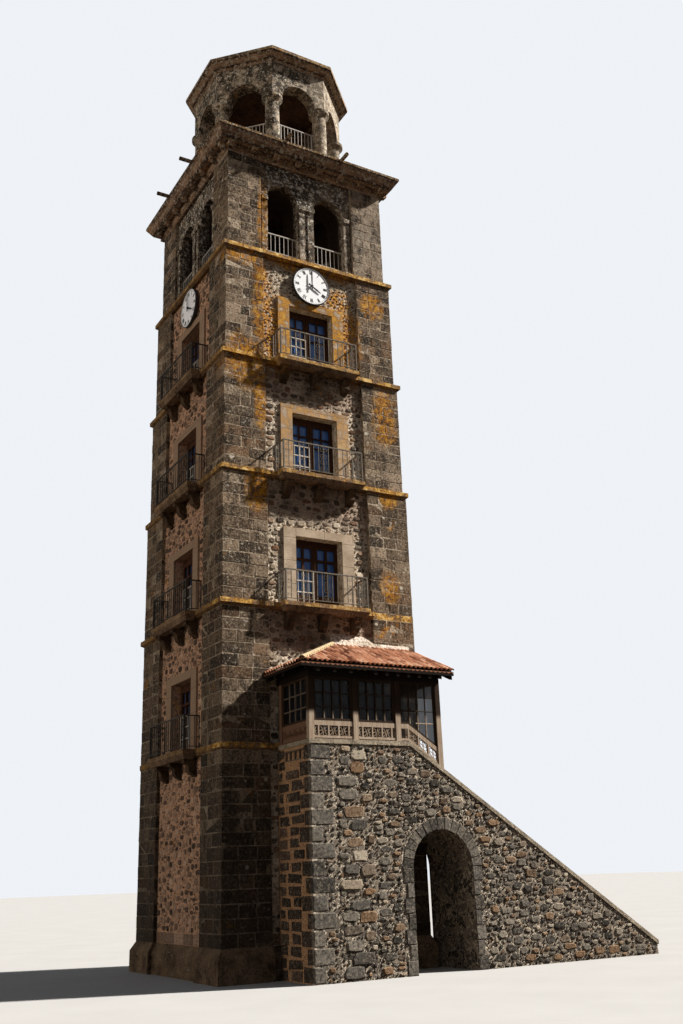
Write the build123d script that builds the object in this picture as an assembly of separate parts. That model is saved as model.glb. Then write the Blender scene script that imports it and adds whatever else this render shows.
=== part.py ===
from build123d import *
from math import cos, pi, radians, sin, tan
import os

os.makedirs("parts", exist_ok=True)

# Millimetres, +Z up, origin on the ground at the middle of the tower's plan
# The front, with the stair porch, faces -Y; the left face is -X

# Shaft of the tower, storey by storey from the ground
storey_names = ["ground", "first", "second", "third", "fourth", "belfry"]
storey_heights = [5500, 3650, 3720, 3510, 3560, 3900]
storey_half_widths = [2930, 2930, 2925, 2865, 2800, 2690]
core_half = 1600  # half-width of the rooms, and of the panels between the corner piers
panel_recess = 110

# Plinth
plinth_projection = 133
plinth_face = 535
plinth_bevel = 231

# String courses, one at the top of each storey below the belfry
string_height = 180
string_soffit = 60
string_projections = [25, 88, 60, 82, 77]
broken_string = "first"  # its course is missing round the front right pier

# Floors
ground_slab = 150
lantern_floor_height = 160

# Main cornice
cornice_height = 590
cornice_bed_height = 200
cornice_bed_projection = 50
cornice_fascia = 80
cornice_corona_projection = 300
cornice_projection = 507
modillion_width = 170
modillion_height = 180
modillion_reach = 230
modillion_nose = 110
modillion_sweep = 130
modillion_foot = 30
modillions_per_side = 8

# Rain spouts of the cornice
spout_radius = 62
spout_bore = 46
spout_length = 400
spout_offset = 1000
spout_drop = 62  # from the cornice's top down to a spout's middle

# Lantern
lantern_apothem = 2320
lantern_wall = 450
lantern_base_apothem = 2480
lantern_arch_width = 1200
lantern_springing = 2340
lantern_wall_height = 3650
column_radius = 245
column_neck_radius = 225
column_base_radius = 290
column_base_height = 200
column_base_bevel = 70
capital_radius = 340
capital_height = 250
abacus_height = 100
lantern_cornice_height = 340
lantern_cornice_fascia = 110
lantern_cornice_apothem = 2623
lantern_roof_apothem = 2480
lantern_cap_apothem = 200
lantern_roof_rise = 200
lantern_eave_rise = 60

# Belfry arches
belfry_pier_half = 280
belfry_arch_width = 1060
belfry_sill = 200
belfry_springing = 2130
impost_height = 150
impost_projection = 90
strip_width = 200
strip_projection = 45
strip_inset = 30

# Balcony doors and their surrounds
door_width = 1460
door_height = 1960
door_set_back = 240
door_thickness = 70
door_stile = 90
door_bottom_panel = 400
glass_thickness = 10
surround_width = 370
surround_lintel = 230
surround_projection = 60

# Balconies
balcony_width = 2620
balcony_reach = 380
balcony_thickness = 240
balcony_edge = 110
balcony_edge_inset = 80
corbel_width = 200
corbel_height = 430
corbel_set_back = 40
corbel_nose = 90
corbel_foot = 90
corbel_lip = 40
corbel_roll = 45
corbel_sweep = 35
corbel_spacing = 1000

# Iron railings
rail_height = 885
rail_bar = 16
rail_band = 34
rail_post = 30
rail_foot_gap = 70
rail_inset = 45
rail_clearance = 2
balcony_bars = 15
balcony_side_bars = 2
belfry_rail_height = 720
belfry_bars = 6
lantern_rail_height = 1400
lantern_bars = 8

# Clocks
clock_radius = 620
clock_height = 2755
clock_depth = 90
clock_rim = 35
clock_rim_depth = 15
clock_bracket_half = 300
clock_clearance = 2
minute_length = 500
hour_length = 350
hand_tail = 120
hand_thickness = 12
hand_hub_radius = 45
hand_belly = 0.6  # where a hand is widest, as a share of its length
hour_hand_width = 62
hour_hand_tip = 16
minute_hand_width = 48
minute_hand_tip = 12
shown_hour = 4
hour_hand_gap = 20
hand_gap = 14
arbor_radius = 12
pipe_radius = 22
fit_clearance = 0.3
arbor_depth = 60

# Porch and stair
porch_left = -1360
porch_depth = 1640
porch_wall = 280
landing_drop = 360  # from the first floor down to the porch landing, in two steps
landing_slab = 100
coping_rise = 290
coping_height = 110
coping_overhang = 30
stair_start = 1500
stair_risers = 29
stair_going = 270
step_bed = 60
step_joint = 2
stair_end_wall = 150
vault_centre = 2300
vault_radius = 885
vault_springing = 2410
vent_start = 320  # from the porch's front corner back to the vent in its left wall
vent_width = 1000
vent_height = 250
vent_sill = 4990
vent_depth = 60
post_size = 140
post_spacing = 1245
post_count = 4
balustrade_height = 440
balustrade_top_band = 115
balustrade_foot_band = 55
balustrade_gap = 25
balustrade_depth = 60
balustrade_set_back = 20
square_panels = 3  # fretted squares in a bay, with an open slot at each end
end_slot = 0.45  # width of a slot, as a share of a square
slat_width = 34
side_board = 30  # thickness of the carved board in the left side
plate_top = 7165
plate_height = 220
window_frame = 60
window_depth = 50
roof_overhang = 410
roof_right = 2720
roof_pitch = 23.9
rafter_width = 80
rafter_height = 100
rafter_count = 8
jack_rafters = 3
jack_spacing = 460
first_jack = 80
rafter_set_back = 30
roof_thickness = 90
flashing_height = 320
flashing_depth = 130
door_step_depth = 300

face_angles = {"front": 0, "right": 90, "back": 180, "left": -90}

levels = [sum(storey_heights[:i]) for i in range(len(storey_heights) + 1)]
landing_height = levels[1] - landing_drop
front_balconies = ["second", "third", "fourth"]
other_balconies = ["first", "second", "third", "fourth"]


def block(x0, x1, y0, y1, z0, z1):
    """A box given by its lowest and highest corners."""
    return Pos((x0 + x1) / 2, (y0 + y1) / 2, (z0 + z1) / 2) * Box(x1 - x0, y1 - y0, z1 - z0)


def side_profile(points, x0, x1):
    """A prism along X from an outline of (y, z) points."""
    face = make_face(Plane.YZ * Polyline(*points, close=True))
    return Pos(x0, 0, 0) * extrude(face, x1 - x0, dir=(1, 0, 0))


def front_profile(points, y0, y1):
    """A prism along Y from an outline of (x, z) points."""
    face = make_face(Polyline(*[(x, 0, z) for x, z in points], close=True))
    return Pos(0, y0, 0) * extrude(face, y1 - y0, dir=(0, 1, 0))


def turned(shape, face):
    """A shape drawn on the front face, moved to another face of the tower."""
    return Rot(0, 0, face_angles[face]) * shape


def save(name, shapes):
    """Writes the solids of one node."""
    solids = [solid for shape in shapes for solid in shape.solids()]
    export_step(Compound(solids), f"parts/{name}.step")


def square(half):
    return [(-half, -half), (half, -half), (half, half), (-half, half)]


def octagon(apothem):
    radius = apothem / cos(pi / 8)
    return [(radius * cos(pi / 8 + i * pi / 4), radius * sin(pi / 8 + i * pi / 4)) for i in range(8)]


def frustum(low, high, z0, z1):
    """A solid between two level outlines."""
    faces = [
        make_face(Polyline(*[(x, y, z) for x, y in outline], close=True))
        for outline, z in ((low, z0), (high, z1))
    ]
    return loft(faces, ruled=True)


def prism(outline, z0, z1):
    face = make_face(Polyline(*[(x, y, z0) for x, y in outline], close=True))
    return extrude(face, z1 - z0, dir=(0, 0, 1))


def shaft_hole(z0, z1):
    return block(-core_half, core_half, -core_half, core_half, z0, z1)


def storey_base(i):
    return plinth_face + plinth_bevel if i == 0 else levels[i]


def storey_top(i):
    top_band = cornice_height if i == len(storey_names) - 1 else string_height
    return levels[i + 1] - top_band


def panel_plane(i):
    """Distance of the recessed panels from the middle of the tower."""
    return storey_half_widths[i] - panel_recess


def broken_outline(half, recess):
    """The shaft's outline with a recess between the corner piers on each face."""
    outline = []
    for angle in (0, 90, 180, 270):
        c, s = round(cos(radians(angle))), round(sin(radians(angle)))
        for x, y in ((-half, -half), (-core_half, -half), (-core_half, recess - half),
                     (core_half, recess - half), (core_half, -half)):
            outline.append((c * x - s * y, s * x + c * y))
    return outline


def plinth():
    half = storey_half_widths[0]
    wide = broken_outline(half + plinth_projection, panel_recess)
    narrow = broken_outline(half, panel_recess)
    top = plinth_face + plinth_bevel
    body = prism(wide, 0, plinth_face) + frustum(wide, narrow, plinth_face, top)
    return body - shaft_hole(0, top)


def corner_piers():
    piers = []
    for i, half in enumerate(storey_half_widths):
        for sx in (-1, 1):
            for sy in (-1, 1):
                xs = sorted((sx * core_half, sx * half))
                ys = sorted((sy * core_half, sy * half))
                piers.append(block(*xs, *ys, storey_base(i), storey_top(i)))
    return piers


def panel_wall(i):
    return block(-core_half, core_half, -panel_plane(i), -core_half, storey_base(i), storey_top(i))


def door_opening(i):
    return block(-door_width / 2, door_width / 2, -panel_plane(i), -core_half,
                 levels[i], levels[i] + door_height)


def arch_cut(x, width, z0, springing, y0, y1):
    """An arched opening: a box below the springing and a half round above."""
    shaft = block(x - width / 2, x + width / 2, y0, y1, z0, springing)
    barrel = Pos(x, (y0 + y1) / 2, springing) * Rot(90, 0, 0) * Cylinder(width / 2, y1 - y0)
    return shaft + barrel


def belfry_arches():
    return belfry_pier_half + belfry_arch_width / 2


def belfry_outer_edge():
    return belfry_pier_half + belfry_arch_width


def belfry_strips():
    """Left and right edges of the flat strips beside the belfry arches."""
    outer = belfry_outer_edge()
    inner = belfry_pier_half
    strips = [(outer, outer + strip_width), (inner - strip_inset - strip_width, inner - strip_inset)]
    return [(-b, -a) for a, b in strips] + strips[::-1]


def belfry_wall():
    """The belfry wall of one face, with two arches, their strips and imposts."""
    i = len(storey_names) - 1
    wall = panel_wall(i)
    plane = panel_plane(i)
    z0 = levels[i] + belfry_sill
    springing = levels[i] + belfry_springing
    for x0, x1 in belfry_strips():
        wall += block(x0, x1, -plane - strip_projection, -plane, levels[i], springing)
    inner, outer = belfry_outer_edge(), belfry_outer_edge() + strip_width
    for x0, x1 in ((-outer, -inner), (-belfry_pier_half, belfry_pier_half), (inner, outer)):
        wall += block(x0, x1, -plane - impost_projection, -plane, springing - impost_height, springing)
    for sx in (-1, 1):
        wall -= arch_cut(sx * belfry_arches(), belfry_arch_width, z0, springing,
                         -plane - impost_projection, -core_half)
    return wall


def string_course(i):
    below = storey_half_widths[i]
    tip = below + string_projections[i]
    z0 = levels[i + 1] - string_height
    z1 = z0 + string_soffit
    ring = frustum(square(below), square(tip), z0, z1)
    ring += prism(square(tip), z1, levels[i + 1])
    if storey_names[i] == broken_string:
        ring -= block(core_half, tip + 1, -tip - 1, -below, z0, levels[i + 1])
        ring -= block(below, tip + 1, -below, -core_half, z0, levels[i + 1])
    return ring - shaft_hole(z0, levels[i + 1])


def floors():
    slabs = [shaft_hole(0, ground_slab)]
    for level in levels[1:-1]:
        slabs.append(shaft_hole(level - string_height, level))
    slabs.append(prism(octagon(lantern_base_apothem), levels[-1], levels[-1] + lantern_floor_height))
    return slabs


def main_cornice():
    half = storey_half_widths[-1]
    z0 = levels[-1] - cornice_height
    z1 = z0 + cornice_bed_height
    z2 = levels[-1] - cornice_fascia
    bed = half + cornice_bed_projection
    corona = half + cornice_corona_projection
    tip = half + cornice_projection
    ring = frustum(square(half), square(bed), z0, z0 + cornice_bed_projection)
    ring += prism(square(bed), z0 + cornice_bed_projection, z1)
    ring += frustum(square(corona), square(tip), z1, z2)
    ring += prism(square(tip), z2, levels[-1])
    return ring - shaft_hole(z0, levels[-1])


def modillions():
    """Brackets under the projecting slab of the cornice."""
    bed = storey_half_widths[-1] + cornice_bed_projection
    z1 = levels[-1] - cornice_height + cornice_bed_height
    z0 = z1 - modillion_height
    nose = bed + modillion_reach
    outline = [(-bed, z0), (-bed, z1), (-nose, z1), (-nose, z1 - modillion_nose),
               (-bed - modillion_sweep, z0 + modillion_foot)]
    span = 2 * bed - modillion_width
    brackets = []
    for face in face_angles:
        for k in range(modillions_per_side):
            x = -span / 2 + span * k / (modillions_per_side - 1)
            bracket = side_profile(outline, x - modillion_width / 2, x + modillion_width / 2)
            brackets.append(turned(bracket, face))
    return brackets


def waterspouts():
    tip = storey_half_widths[-1] + cornice_projection
    z = levels[-1] - spout_drop
    spouts = []
    for face in face_angles:
        for x in (-spout_offset, spout_offset):
            tube = Cylinder(spout_radius, spout_length) - Cylinder(spout_bore, spout_length)
            spouts.append(turned(Pos(x, -tip - spout_length / 2, z) * Rot(90, 0, 0) * tube, face))
    return spouts


def lantern_base():
    return levels[-1] + lantern_floor_height


def lantern_arcade():
    """The arched walls that the columns carry."""
    z0 = lantern_base()
    z1 = z0 + lantern_wall_height
    ring = prism(octagon(lantern_apothem), z0 + lantern_springing, z1)
    ring -= prism(octagon(lantern_apothem - lantern_wall), z0 + lantern_springing, z1)
    reach = 2 * lantern_apothem
    for k in range(4):
        cut = arch_cut(0, lantern_arch_width, z0, z0 + lantern_springing, -reach, reach)
        ring -= Rot(0, 0, 45 * k) * cut
    return ring


def lantern_column():
    """A turned column with its base and capital, at the origin."""
    top = lantern_springing
    outline = [(0, 0), (column_base_radius, 0), (column_base_radius, column_base_height - column_base_bevel),
               (column_radius, column_base_height), (column_neck_radius, top - capital_height),
               (capital_radius, top - abacus_height), (capital_radius, top), (0, top)]
    return revolve(make_face(Plane.XZ * Polyline(*outline, close=True)), Axis.Z)


def column_circle():
    """Distance of the columns from the tower's axis, at the middle of the wall's thickness."""
    return (lantern_apothem - lantern_wall / 2) / cos(pi / 8)


def lantern_columns():
    """One column at each corner of the lantern."""
    column = Pos(column_circle(), 0, lantern_base()) * lantern_column()
    return [Rot(0, 0, 22.5 + 45 * k) * column for k in range(8)]


def lantern_cornice():
    z0 = lantern_base() + lantern_wall_height
    z2 = z0 + lantern_cornice_height
    z1 = z2 - lantern_cornice_fascia
    wide = octagon(lantern_cornice_apothem)
    ring = frustum(octagon(lantern_apothem), wide, z0, z1) + prism(wide, z1, z2)
    return ring - prism(octagon(lantern_apothem - lantern_wall), z0, z2)


def lantern_roof():
    z0 = lantern_base() + lantern_wall_height + lantern_cornice_height
    edge = octagon(lantern_roof_apothem)
    cap = octagon(lantern_cap_apothem)
    z1 = z0 + lantern_eave_rise
    return prism(edge, z0, z1) + frustum(edge, cap, z1, z1 + lantern_roof_rise)


def railing(length, height, bars):
    """An iron railing along X, centred, standing at the origin's level."""
    half = length / 2
    panel = block(-half, half, -rail_post / 2, rail_post / 2, height - rail_band, height)
    panel += block(-half, half, -rail_post / 2, rail_post / 2, rail_foot_gap, rail_foot_gap + rail_band / 2)
    for x in (-half + rail_post / 2, half - rail_post / 2):
        panel += block(x - rail_post / 2, x + rail_post / 2, -rail_post / 2, rail_post / 2, 0, height)
    pitch = (length - rail_post) / (bars + 1)
    for k in range(bars):
        x = -half + rail_post / 2 + pitch * (k + 1)
        panel += block(x - rail_bar / 2, x + rail_bar / 2, -rail_bar / 2, rail_bar / 2,
                       rail_foot_gap, height)
    return panel


def belfry_railings():
    i = len(storey_names) - 1
    z = levels[i] + belfry_sill
    y = -panel_plane(i) + 2 * rail_inset
    panel = railing(belfry_arch_width, belfry_rail_height, belfry_bars)
    return [
        turned(Pos(sx * belfry_arches(), y, z) * panel, face)
        for face in face_angles for sx in (-1, 1)
    ]


def lantern_railings():
    """A railing in each arch, between the column bases, its handrail up to the shafts."""
    y = -lantern_apothem + lantern_wall / 2
    half_bay = column_circle() * sin(pi / 8)
    half = half_bay - column_base_radius - rail_clearance
    reach = half_bay - column_radius
    panel = railing(2 * half, lantern_rail_height, lantern_bars)
    panel += block(-reach, reach, -rail_post / 2, rail_post / 2, lantern_rail_height - rail_band,
                   lantern_rail_height)
    return [Rot(0, 0, 45 * k) * Pos(0, y, lantern_base()) * panel for k in range(8)]


def door_places():
    """Face and storey of each balcony door, and of the porch door."""
    return [("front", 1)] + balcony_places()


def balcony_places():
    places = [("front", name) for name in front_balconies]
    places += [(face, name) for face in ("right", "back", "left") for name in other_balconies]
    return [(face, storey_names.index(name)) for face, name in places]


def door_surround(i):
    outer = door_width / 2 + surround_width
    y = -panel_plane(i)
    frame = block(-outer, outer, y - surround_projection, y, levels[i],
                  levels[i] + door_height + surround_lintel)
    return frame - block(-door_width / 2, door_width / 2, y - surround_projection, y,
                         levels[i], levels[i] + door_height)


def door_leaves(i):
    """Two glazed leaves in one frame, with solid panels at the foot."""
    y0 = -panel_plane(i) + door_set_back
    z0 = levels[i]
    leaves = block(-door_width / 2, door_width / 2, y0, y0 + door_thickness, z0, z0 + door_height)
    leaf = door_width / 2
    for x in (-leaf, 0):
        leaves -= block(x + door_stile, x + leaf - door_stile, y0, y0 + door_thickness,
                        z0 + door_bottom_panel, z0 + door_height - door_stile)
    return leaves


def door_glass(i):
    y0 = -panel_plane(i) + door_set_back + door_thickness
    half = door_width / 2 - door_stile / 2
    return block(-half, half, y0, y0 + glass_thickness, levels[i] + door_bottom_panel - door_stile / 2,
                 levels[i] + door_height - door_stile / 2)


def string_tip(i):
    """Half-width of the string course under storey i."""
    return storey_half_widths[i - 1] + string_projections[i - 1]


def balcony_face(i):
    """Distance of a balcony's front edge from the middle of the tower."""
    return storey_half_widths[i - 1] + balcony_reach


def balcony_slab(i):
    half = balcony_width / 2
    back = string_tip(i)
    front = balcony_face(i)
    z1 = levels[i]
    z0 = z1 - balcony_thickness
    zm = z1 - balcony_edge
    inset = balcony_edge_inset
    top = [(-half, -front), (half, -front), (half, -back), (-half, -back)]
    low = [(inset - half, inset - front), (half - inset, inset - front), (half - inset, -back),
           (inset - half, -back)]
    return frustum(low, top, z0, zm) + prism(top, zm, z1)


def balcony_corbel(i, x):
    """A stone bracket with a round nose over a hollow sweep."""
    back = panel_plane(i - 1)
    z1 = levels[i] - balcony_thickness
    nose = balcony_face(i) - balcony_edge_inset - corbel_set_back
    heel = back + corbel_foot
    foot = z1 - corbel_height
    low = z1 - corbel_nose
    lip = foot + corbel_lip
    mid = (-(nose + heel) / 2, (low + lip) / 2)
    outline = [
        Polyline((-heel, lip), (-heel, foot), (-back, foot), (-back, z1), (-nose, z1), (-nose, low)),
        SagittaArc((-nose, low), mid, corbel_roll),
        SagittaArc(mid, (-heel, lip), -corbel_sweep),
    ]
    profile = Plane.YZ * make_face(outline)
    return Pos(x - corbel_width / 2, 0, 0) * extrude(profile, corbel_width, dir=(1, 0, 0))


def balcony_corbels(i):
    return [balcony_corbel(i, x) for x in (-corbel_spacing, 0, corbel_spacing)]


def balcony_front_rail(i):
    y = -balcony_face(i) + rail_inset
    return Pos(0, y, levels[i]) * railing(balcony_width - 2 * rail_inset, rail_height, balcony_bars)


def balcony_side_rails(i):
    front = balcony_face(i) - rail_inset - rail_post / 2
    length = front - panel_plane(i)
    y = -front + length / 2
    x = balcony_width / 2 - rail_inset - rail_post / 2
    panel = railing(length, rail_height, balcony_side_bars)
    return [Pos(sx * x, y, levels[i]) * Rot(0, 0, 90) * panel for sx in (-1, 1)]


def clock_plane():
    """Distance of the dials' backs from the middle of the tower, clear of the door surrounds."""
    return panel_plane(4) + surround_projection + clock_clearance


def clock_level():
    return levels[4] + clock_height


def clock_dial():
    """A round dial on a square block, with a raised rim and a hole for the hands' pipe."""
    drum_depth = clock_plane() - panel_plane(4)
    half = clock_bracket_half
    drum = block(-half, half, -half, half, -drum_depth, 0)
    disc = Pos(0, 0, clock_depth / 2) * Cylinder(clock_radius, clock_depth)
    recess = Pos(0, 0, clock_depth) * Cylinder(clock_radius - clock_rim, 2 * clock_rim_depth)
    hole = Pos(0, 0, clock_depth / 2) * Cylinder(pipe_radius + fit_clearance, clock_depth)
    dial = disc + drum - recess - hole
    return Pos(0, -clock_plane(), clock_level()) * Rot(90, 0, 0) * dial


def hand_plate(length, root_width, tip_width):
    """A flat pointer along +Y of its own plane, with a tail and a round hub."""
    outline = [(-root_width / 2, -hand_tail), (root_width / 2, -hand_tail), (root_width / 4, 0),
               (root_width / 2, length * hand_belly), (tip_width / 2, length), (-tip_width / 2, length),
               (-root_width / 2, length * hand_belly), (-root_width / 4, 0)]
    plate = extrude(make_face(Polyline(*outline, close=True)), hand_thickness)
    hub = extrude(Circle(hand_hub_radius), hand_thickness)
    return plate + hub


def place_hand(hand, distance):
    """Turns a hand from its own plane to the front dial's, at a distance from the tower's middle."""
    return Pos(0, -distance, clock_level()) * Rot(90, 0, 0) * hand


def dial_front():
    return clock_plane() + clock_depth - clock_rim_depth


def hour_hand():
    turn = -360 * shown_hour / 12
    plate = Rot(0, 0, turn) * hand_plate(hour_length, hour_hand_width, hour_hand_tip)
    plate -= extrude(Circle(arbor_radius + fit_clearance), hand_thickness)
    pipe_length = hour_hand_gap + arbor_depth
    pipe = Pos(0, 0, -pipe_length / 2) * (
        Cylinder(pipe_radius, pipe_length) - Cylinder(arbor_radius + fit_clearance, pipe_length))
    return place_hand(plate + pipe, dial_front() + hour_hand_gap)


def minute_hand():
    plate = hand_plate(minute_length, minute_hand_width, minute_hand_tip)
    arbor_length = hand_gap + hand_thickness + hour_hand_gap + arbor_depth
    arbor = Pos(0, 0, -arbor_length / 2) * Cylinder(arbor_radius, arbor_length)
    return place_hand(plate + arbor, dial_front() + hour_hand_gap + hand_thickness + hand_gap)


def riser():
    return landing_height / stair_risers


def stair_slope():
    return riser() / stair_going


def stair_end():
    return stair_start + (stair_risers - 1) * stair_going + stair_end_wall


def porch_front():
    return -storey_half_widths[1] - porch_depth


def coping_level():
    return landing_height + coping_rise


def coping_line(x):
    """Top of the parapet's coping along the front."""
    return coping_level() - max(0, x - stair_start) * stair_slope()


def vault_cut():
    """The arched passage under the stair."""
    reach = porch_depth + 2 * storey_half_widths[0]
    return arch_cut(vault_centre, 2 * vault_radius, 0, vault_springing, porch_front() - 1,
                    porch_front() + reach)


def porch_base():
    """The masonry under the landing, with parapet walls to the front and left."""
    half = storey_half_widths[0]
    y0 = porch_front()
    top = coping_level() - coping_height
    bed = landing_height - landing_slab
    plinth_back = -(half + plinth_projection - panel_recess)
    plinth_top = plinth_face + plinth_bevel
    mass = block(porch_left, stair_start, y0, -panel_plane(0), plinth_top, bed)
    mass += block(porch_left, stair_start, y0, plinth_back, 0, plinth_top)
    mass += block(porch_left, stair_start, y0, y0 + porch_wall, bed, top)
    mass += block(porch_left, porch_left + porch_wall, y0, -string_tip(1), bed, top)
    mass -= block(porch_left, porch_left + vent_depth, y0 + vent_start, y0 + vent_start + vent_width,
                  vent_sill, vent_sill + vent_height)
    return mass - vault_cut()


def stair_wall(y0, y1, x0):
    """A wall beside the flight, sloped along its top."""
    end = stair_end()
    top0 = coping_line(x0) - coping_height
    top1 = coping_line(end) - coping_height
    wall = front_profile([(x0, 0), (end, 0), (end, top1), (x0, top0)], y0, y1)
    return wall - vault_cut()


def stair_walls():
    half = storey_half_widths[0]
    y0 = porch_front()
    front = stair_wall(y0, y0 + porch_wall, stair_start)
    back = stair_wall(-half, porch_wall - half, half + plinth_projection)
    return [front, back]


def stair_core():
    """The fill that the steps lie on, over a vault."""
    z0 = landing_height - riser() - step_bed
    end = stair_start + (stair_risers - 1) * stair_going
    low = z0 - (end - stair_start) * stair_slope()
    foot = end + low / stair_slope()
    half = storey_half_widths[0]
    fill = front_profile([(stair_start, 0), (foot, 0), (stair_start, z0)],
                         porch_front() + porch_wall, -half)
    clear = half + plinth_projection
    fill -= block(stair_start, clear, -clear, -half, 0, plinth_face + plinth_bevel)
    return fill - vault_cut()


def stair_steps():
    y0 = porch_front() + porch_wall
    y1 = -storey_half_widths[0]
    steps = []
    for k in range(1, stair_risers):
        x0 = stair_start + (k - 1) * stair_going + step_joint
        x1 = stair_start + k * stair_going
        z1 = landing_height - k * riser()
        low0 = z1 - step_bed - step_joint * stair_slope()
        low1 = z1 - step_bed - riser()
        outline = [(x0, max(low0, 0)), (x0, z1), (x1, z1), (x1, max(low1, 0))]
        if low1 < 0:
            outline.append((x1 + low1 / stair_slope(), 0))
        steps.append(front_profile(outline, y0, y1))
    return steps


def sloped_coping(x0, x1, y0, y1):
    z0 = coping_line(x0)
    z1 = coping_line(x1)
    return front_profile([(x0, z0 - coping_height), (x1, z1 - coping_height), (x1, z1), (x0, z0)], y0, y1)


def porch_coping():
    half = storey_half_widths[0]
    y0 = porch_front() - coping_overhang
    y1 = porch_front() + porch_wall
    x0 = porch_left - coping_overhang
    z0 = coping_level() - coping_height
    z1 = coping_level()
    level = block(x0, stair_start, y0, y1, z0, z1)
    level += block(x0, porch_left + porch_wall, y0, -string_tip(1), z0, z1)
    front = level + sloped_coping(stair_start, stair_end() + coping_overhang, y0, y1)
    back = sloped_coping(string_tip(1) + 2, stair_end() + coping_overhang, -half, porch_wall - half)
    return [front, back]


def porch_landing():
    y0 = porch_front() + porch_wall
    y1 = -storey_half_widths[0]
    x0 = porch_left + porch_wall
    floor = block(x0, stair_start, y0, y1, landing_height - landing_slab, landing_height)
    rise = landing_drop / 2
    step = block(-door_width / 2, door_width / 2, -string_tip(1) - door_step_depth, -string_tip(1),
                 landing_height, landing_height + rise)
    return floor + step


def post_centre(k):
    return porch_left + post_size / 2 + k * post_spacing


def porch_posts():
    """Timber posts on the coping, and two against the tower."""
    z1 = plate_top - plate_height
    y0 = porch_front()
    posts = []
    for k in range(post_count):
        x0 = post_centre(k) - post_size / 2
        x1 = x0 + post_size
        outline = [(x0, coping_line(x0)), (x1, coping_line(x1)), (x1, z1), (x0, z1)]
        posts.append(front_profile(outline, y0, y0 + post_size))
    tip = string_tip(1)
    posts.append(block(porch_left, porch_left + post_size, -tip - post_size, -tip, coping_level(), z1))
    return posts


def porch_plates():
    """The beams that carry the rafters: along the front, and back to the tower at each end."""
    y0 = porch_front()
    z0 = plate_top - plate_height
    x1 = post_centre(post_count - 1) + post_size / 2
    beam = block(porch_left, x1, y0, y0 + post_size, z0, plate_top)
    beam += block(porch_left, porch_left + post_size, y0, -panel_plane(1), z0, plate_top)
    beam += block(x1 - post_size, x1, y0, -storey_half_widths[1], z0, plate_top)
    return beam


def slat_places(squares, slots):
    """Where the upright slats stand in a bay, as shares of its width."""
    total = squares + 2 * end_slot * slots
    shares = [(end_slot * slots + k) / total for k in range(squares + 1)]
    return shares if slots else shares[1:-1]


def balustrade_strip(a, b, line, y0, y1, low, high):
    """A strip between two heights over a line of heights."""
    outline = [(a, line(a) + low), (b, line(b) + low), (b, line(b) + high), (a, line(a) + high)]
    return front_profile(outline, y0, y1)


def fret_heights():
    """Foot and top of a balustrade's open field, over its coping."""
    return balustrade_gap + balustrade_foot_band, balustrade_height - balustrade_top_band


def slatted_panel(x0, x1, line, y0, y1, places):
    """A balustrade bay between two posts, following a line of heights."""
    foot, top = fret_heights()
    panel = balustrade_strip(x0, x1, line, y0, y1, balustrade_gap, foot)
    panel += balustrade_strip(x0, x1, line, y0, y1, top, balustrade_height)
    for place in places:
        x = x0 + (x1 - x0) * place
        panel += balustrade_strip(x - slat_width / 2, x + slat_width / 2, line, y0, y1,
                                  foot - balustrade_foot_band / 2, top + balustrade_foot_band / 2)
    return panel


def bay(k):
    """Left and right edges of a bay between two front posts."""
    return post_centre(k) + post_size / 2, post_centre(k + 1) - post_size / 2


def porch_balustrades():
    y0 = porch_front() + balustrade_set_back
    y1 = y0 + balustrade_depth
    full = slat_places(square_panels, 1)
    panels = []
    for k in range(post_count - 2):
        panels.append(slatted_panel(*bay(k), coping_line, y0, y1, full))
    x0, x1 = bay(post_count - 2)
    flat = slatted_panel(x0, stair_start, coping_line, y0, y1, [])
    sloped = slatted_panel(stair_start, x1, coping_line, y0, y1, [0] + slat_places(square_panels, 0))
    panels.append(flat + sloped)
    panels.append(side_balustrade())
    return panels


def side_balustrade():
    """The left side's balustrade, with a solid board between its bands."""
    y0 = porch_front() + post_size
    y1 = -string_tip(1) - post_size
    x0 = porch_left + balustrade_set_back
    x1 = x0 + balustrade_depth
    z = coping_level()
    foot, top = fret_heights()
    inset = (balustrade_depth - side_board) / 2
    panel = block(x0, x1, y0, y1, z + balustrade_gap, z + foot)
    panel += block(x0, x1, y0, y1, z + top, z + balustrade_height)
    return panel + block(x0 + inset, x1 - inset, y0, y1, z + foot, z + top)


def window_outline(x0, x1, margin):
    """Outline of a glazed bay, above the balustrade's handrail and under the plate."""
    z1 = plate_top - plate_height - margin
    rise = balustrade_height + margin
    left, right = x0 + margin, x1 - margin
    points = [(left, coping_line(left) + rise)]
    if left < stair_start < right:
        points.append((stair_start, coping_line(stair_start) + rise))
    points += [(right, coping_line(right) + rise), (right, z1), (left, z1)]
    return points


def porch_window(x0, x1):
    y0 = porch_front() + balustrade_set_back + balustrade_depth - window_depth
    outer = front_profile(window_outline(x0, x1, 0), y0, y0 + window_depth)
    return outer - front_profile(window_outline(x0, x1, window_frame), y0, y0 + window_depth)


def window_glass(x0, x1):
    y0 = porch_front() + balustrade_set_back + balustrade_depth
    return front_profile(window_outline(x0, x1, window_frame / 2), y0, y0 + glass_thickness)


def side_window():
    """Window frame and glass of the porch's left side."""
    y0 = porch_front() + post_size
    y1 = -string_tip(1) - post_size
    x0 = porch_left + balustrade_set_back + balustrade_depth - window_depth
    z0 = coping_level() + balustrade_height
    z1 = plate_top - plate_height
    m = window_frame
    frame = block(x0, x0 + window_depth, y0, y1, z0, z1)
    frame -= block(x0, x0 + window_depth, y0 + m, y1 - m, z0 + m, z1 - m)
    g = window_frame / 2
    x1 = x0 + window_depth
    glass = block(x1, x1 + glass_thickness, y0 + g, y1 - g, z0 + g, z1 - g)
    return frame, glass


def rafter_plane(offset):
    """Height of a plane parallel to the front slope, at the plate's outer face."""
    return plate_top + offset / cos(radians(roof_pitch))


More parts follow.
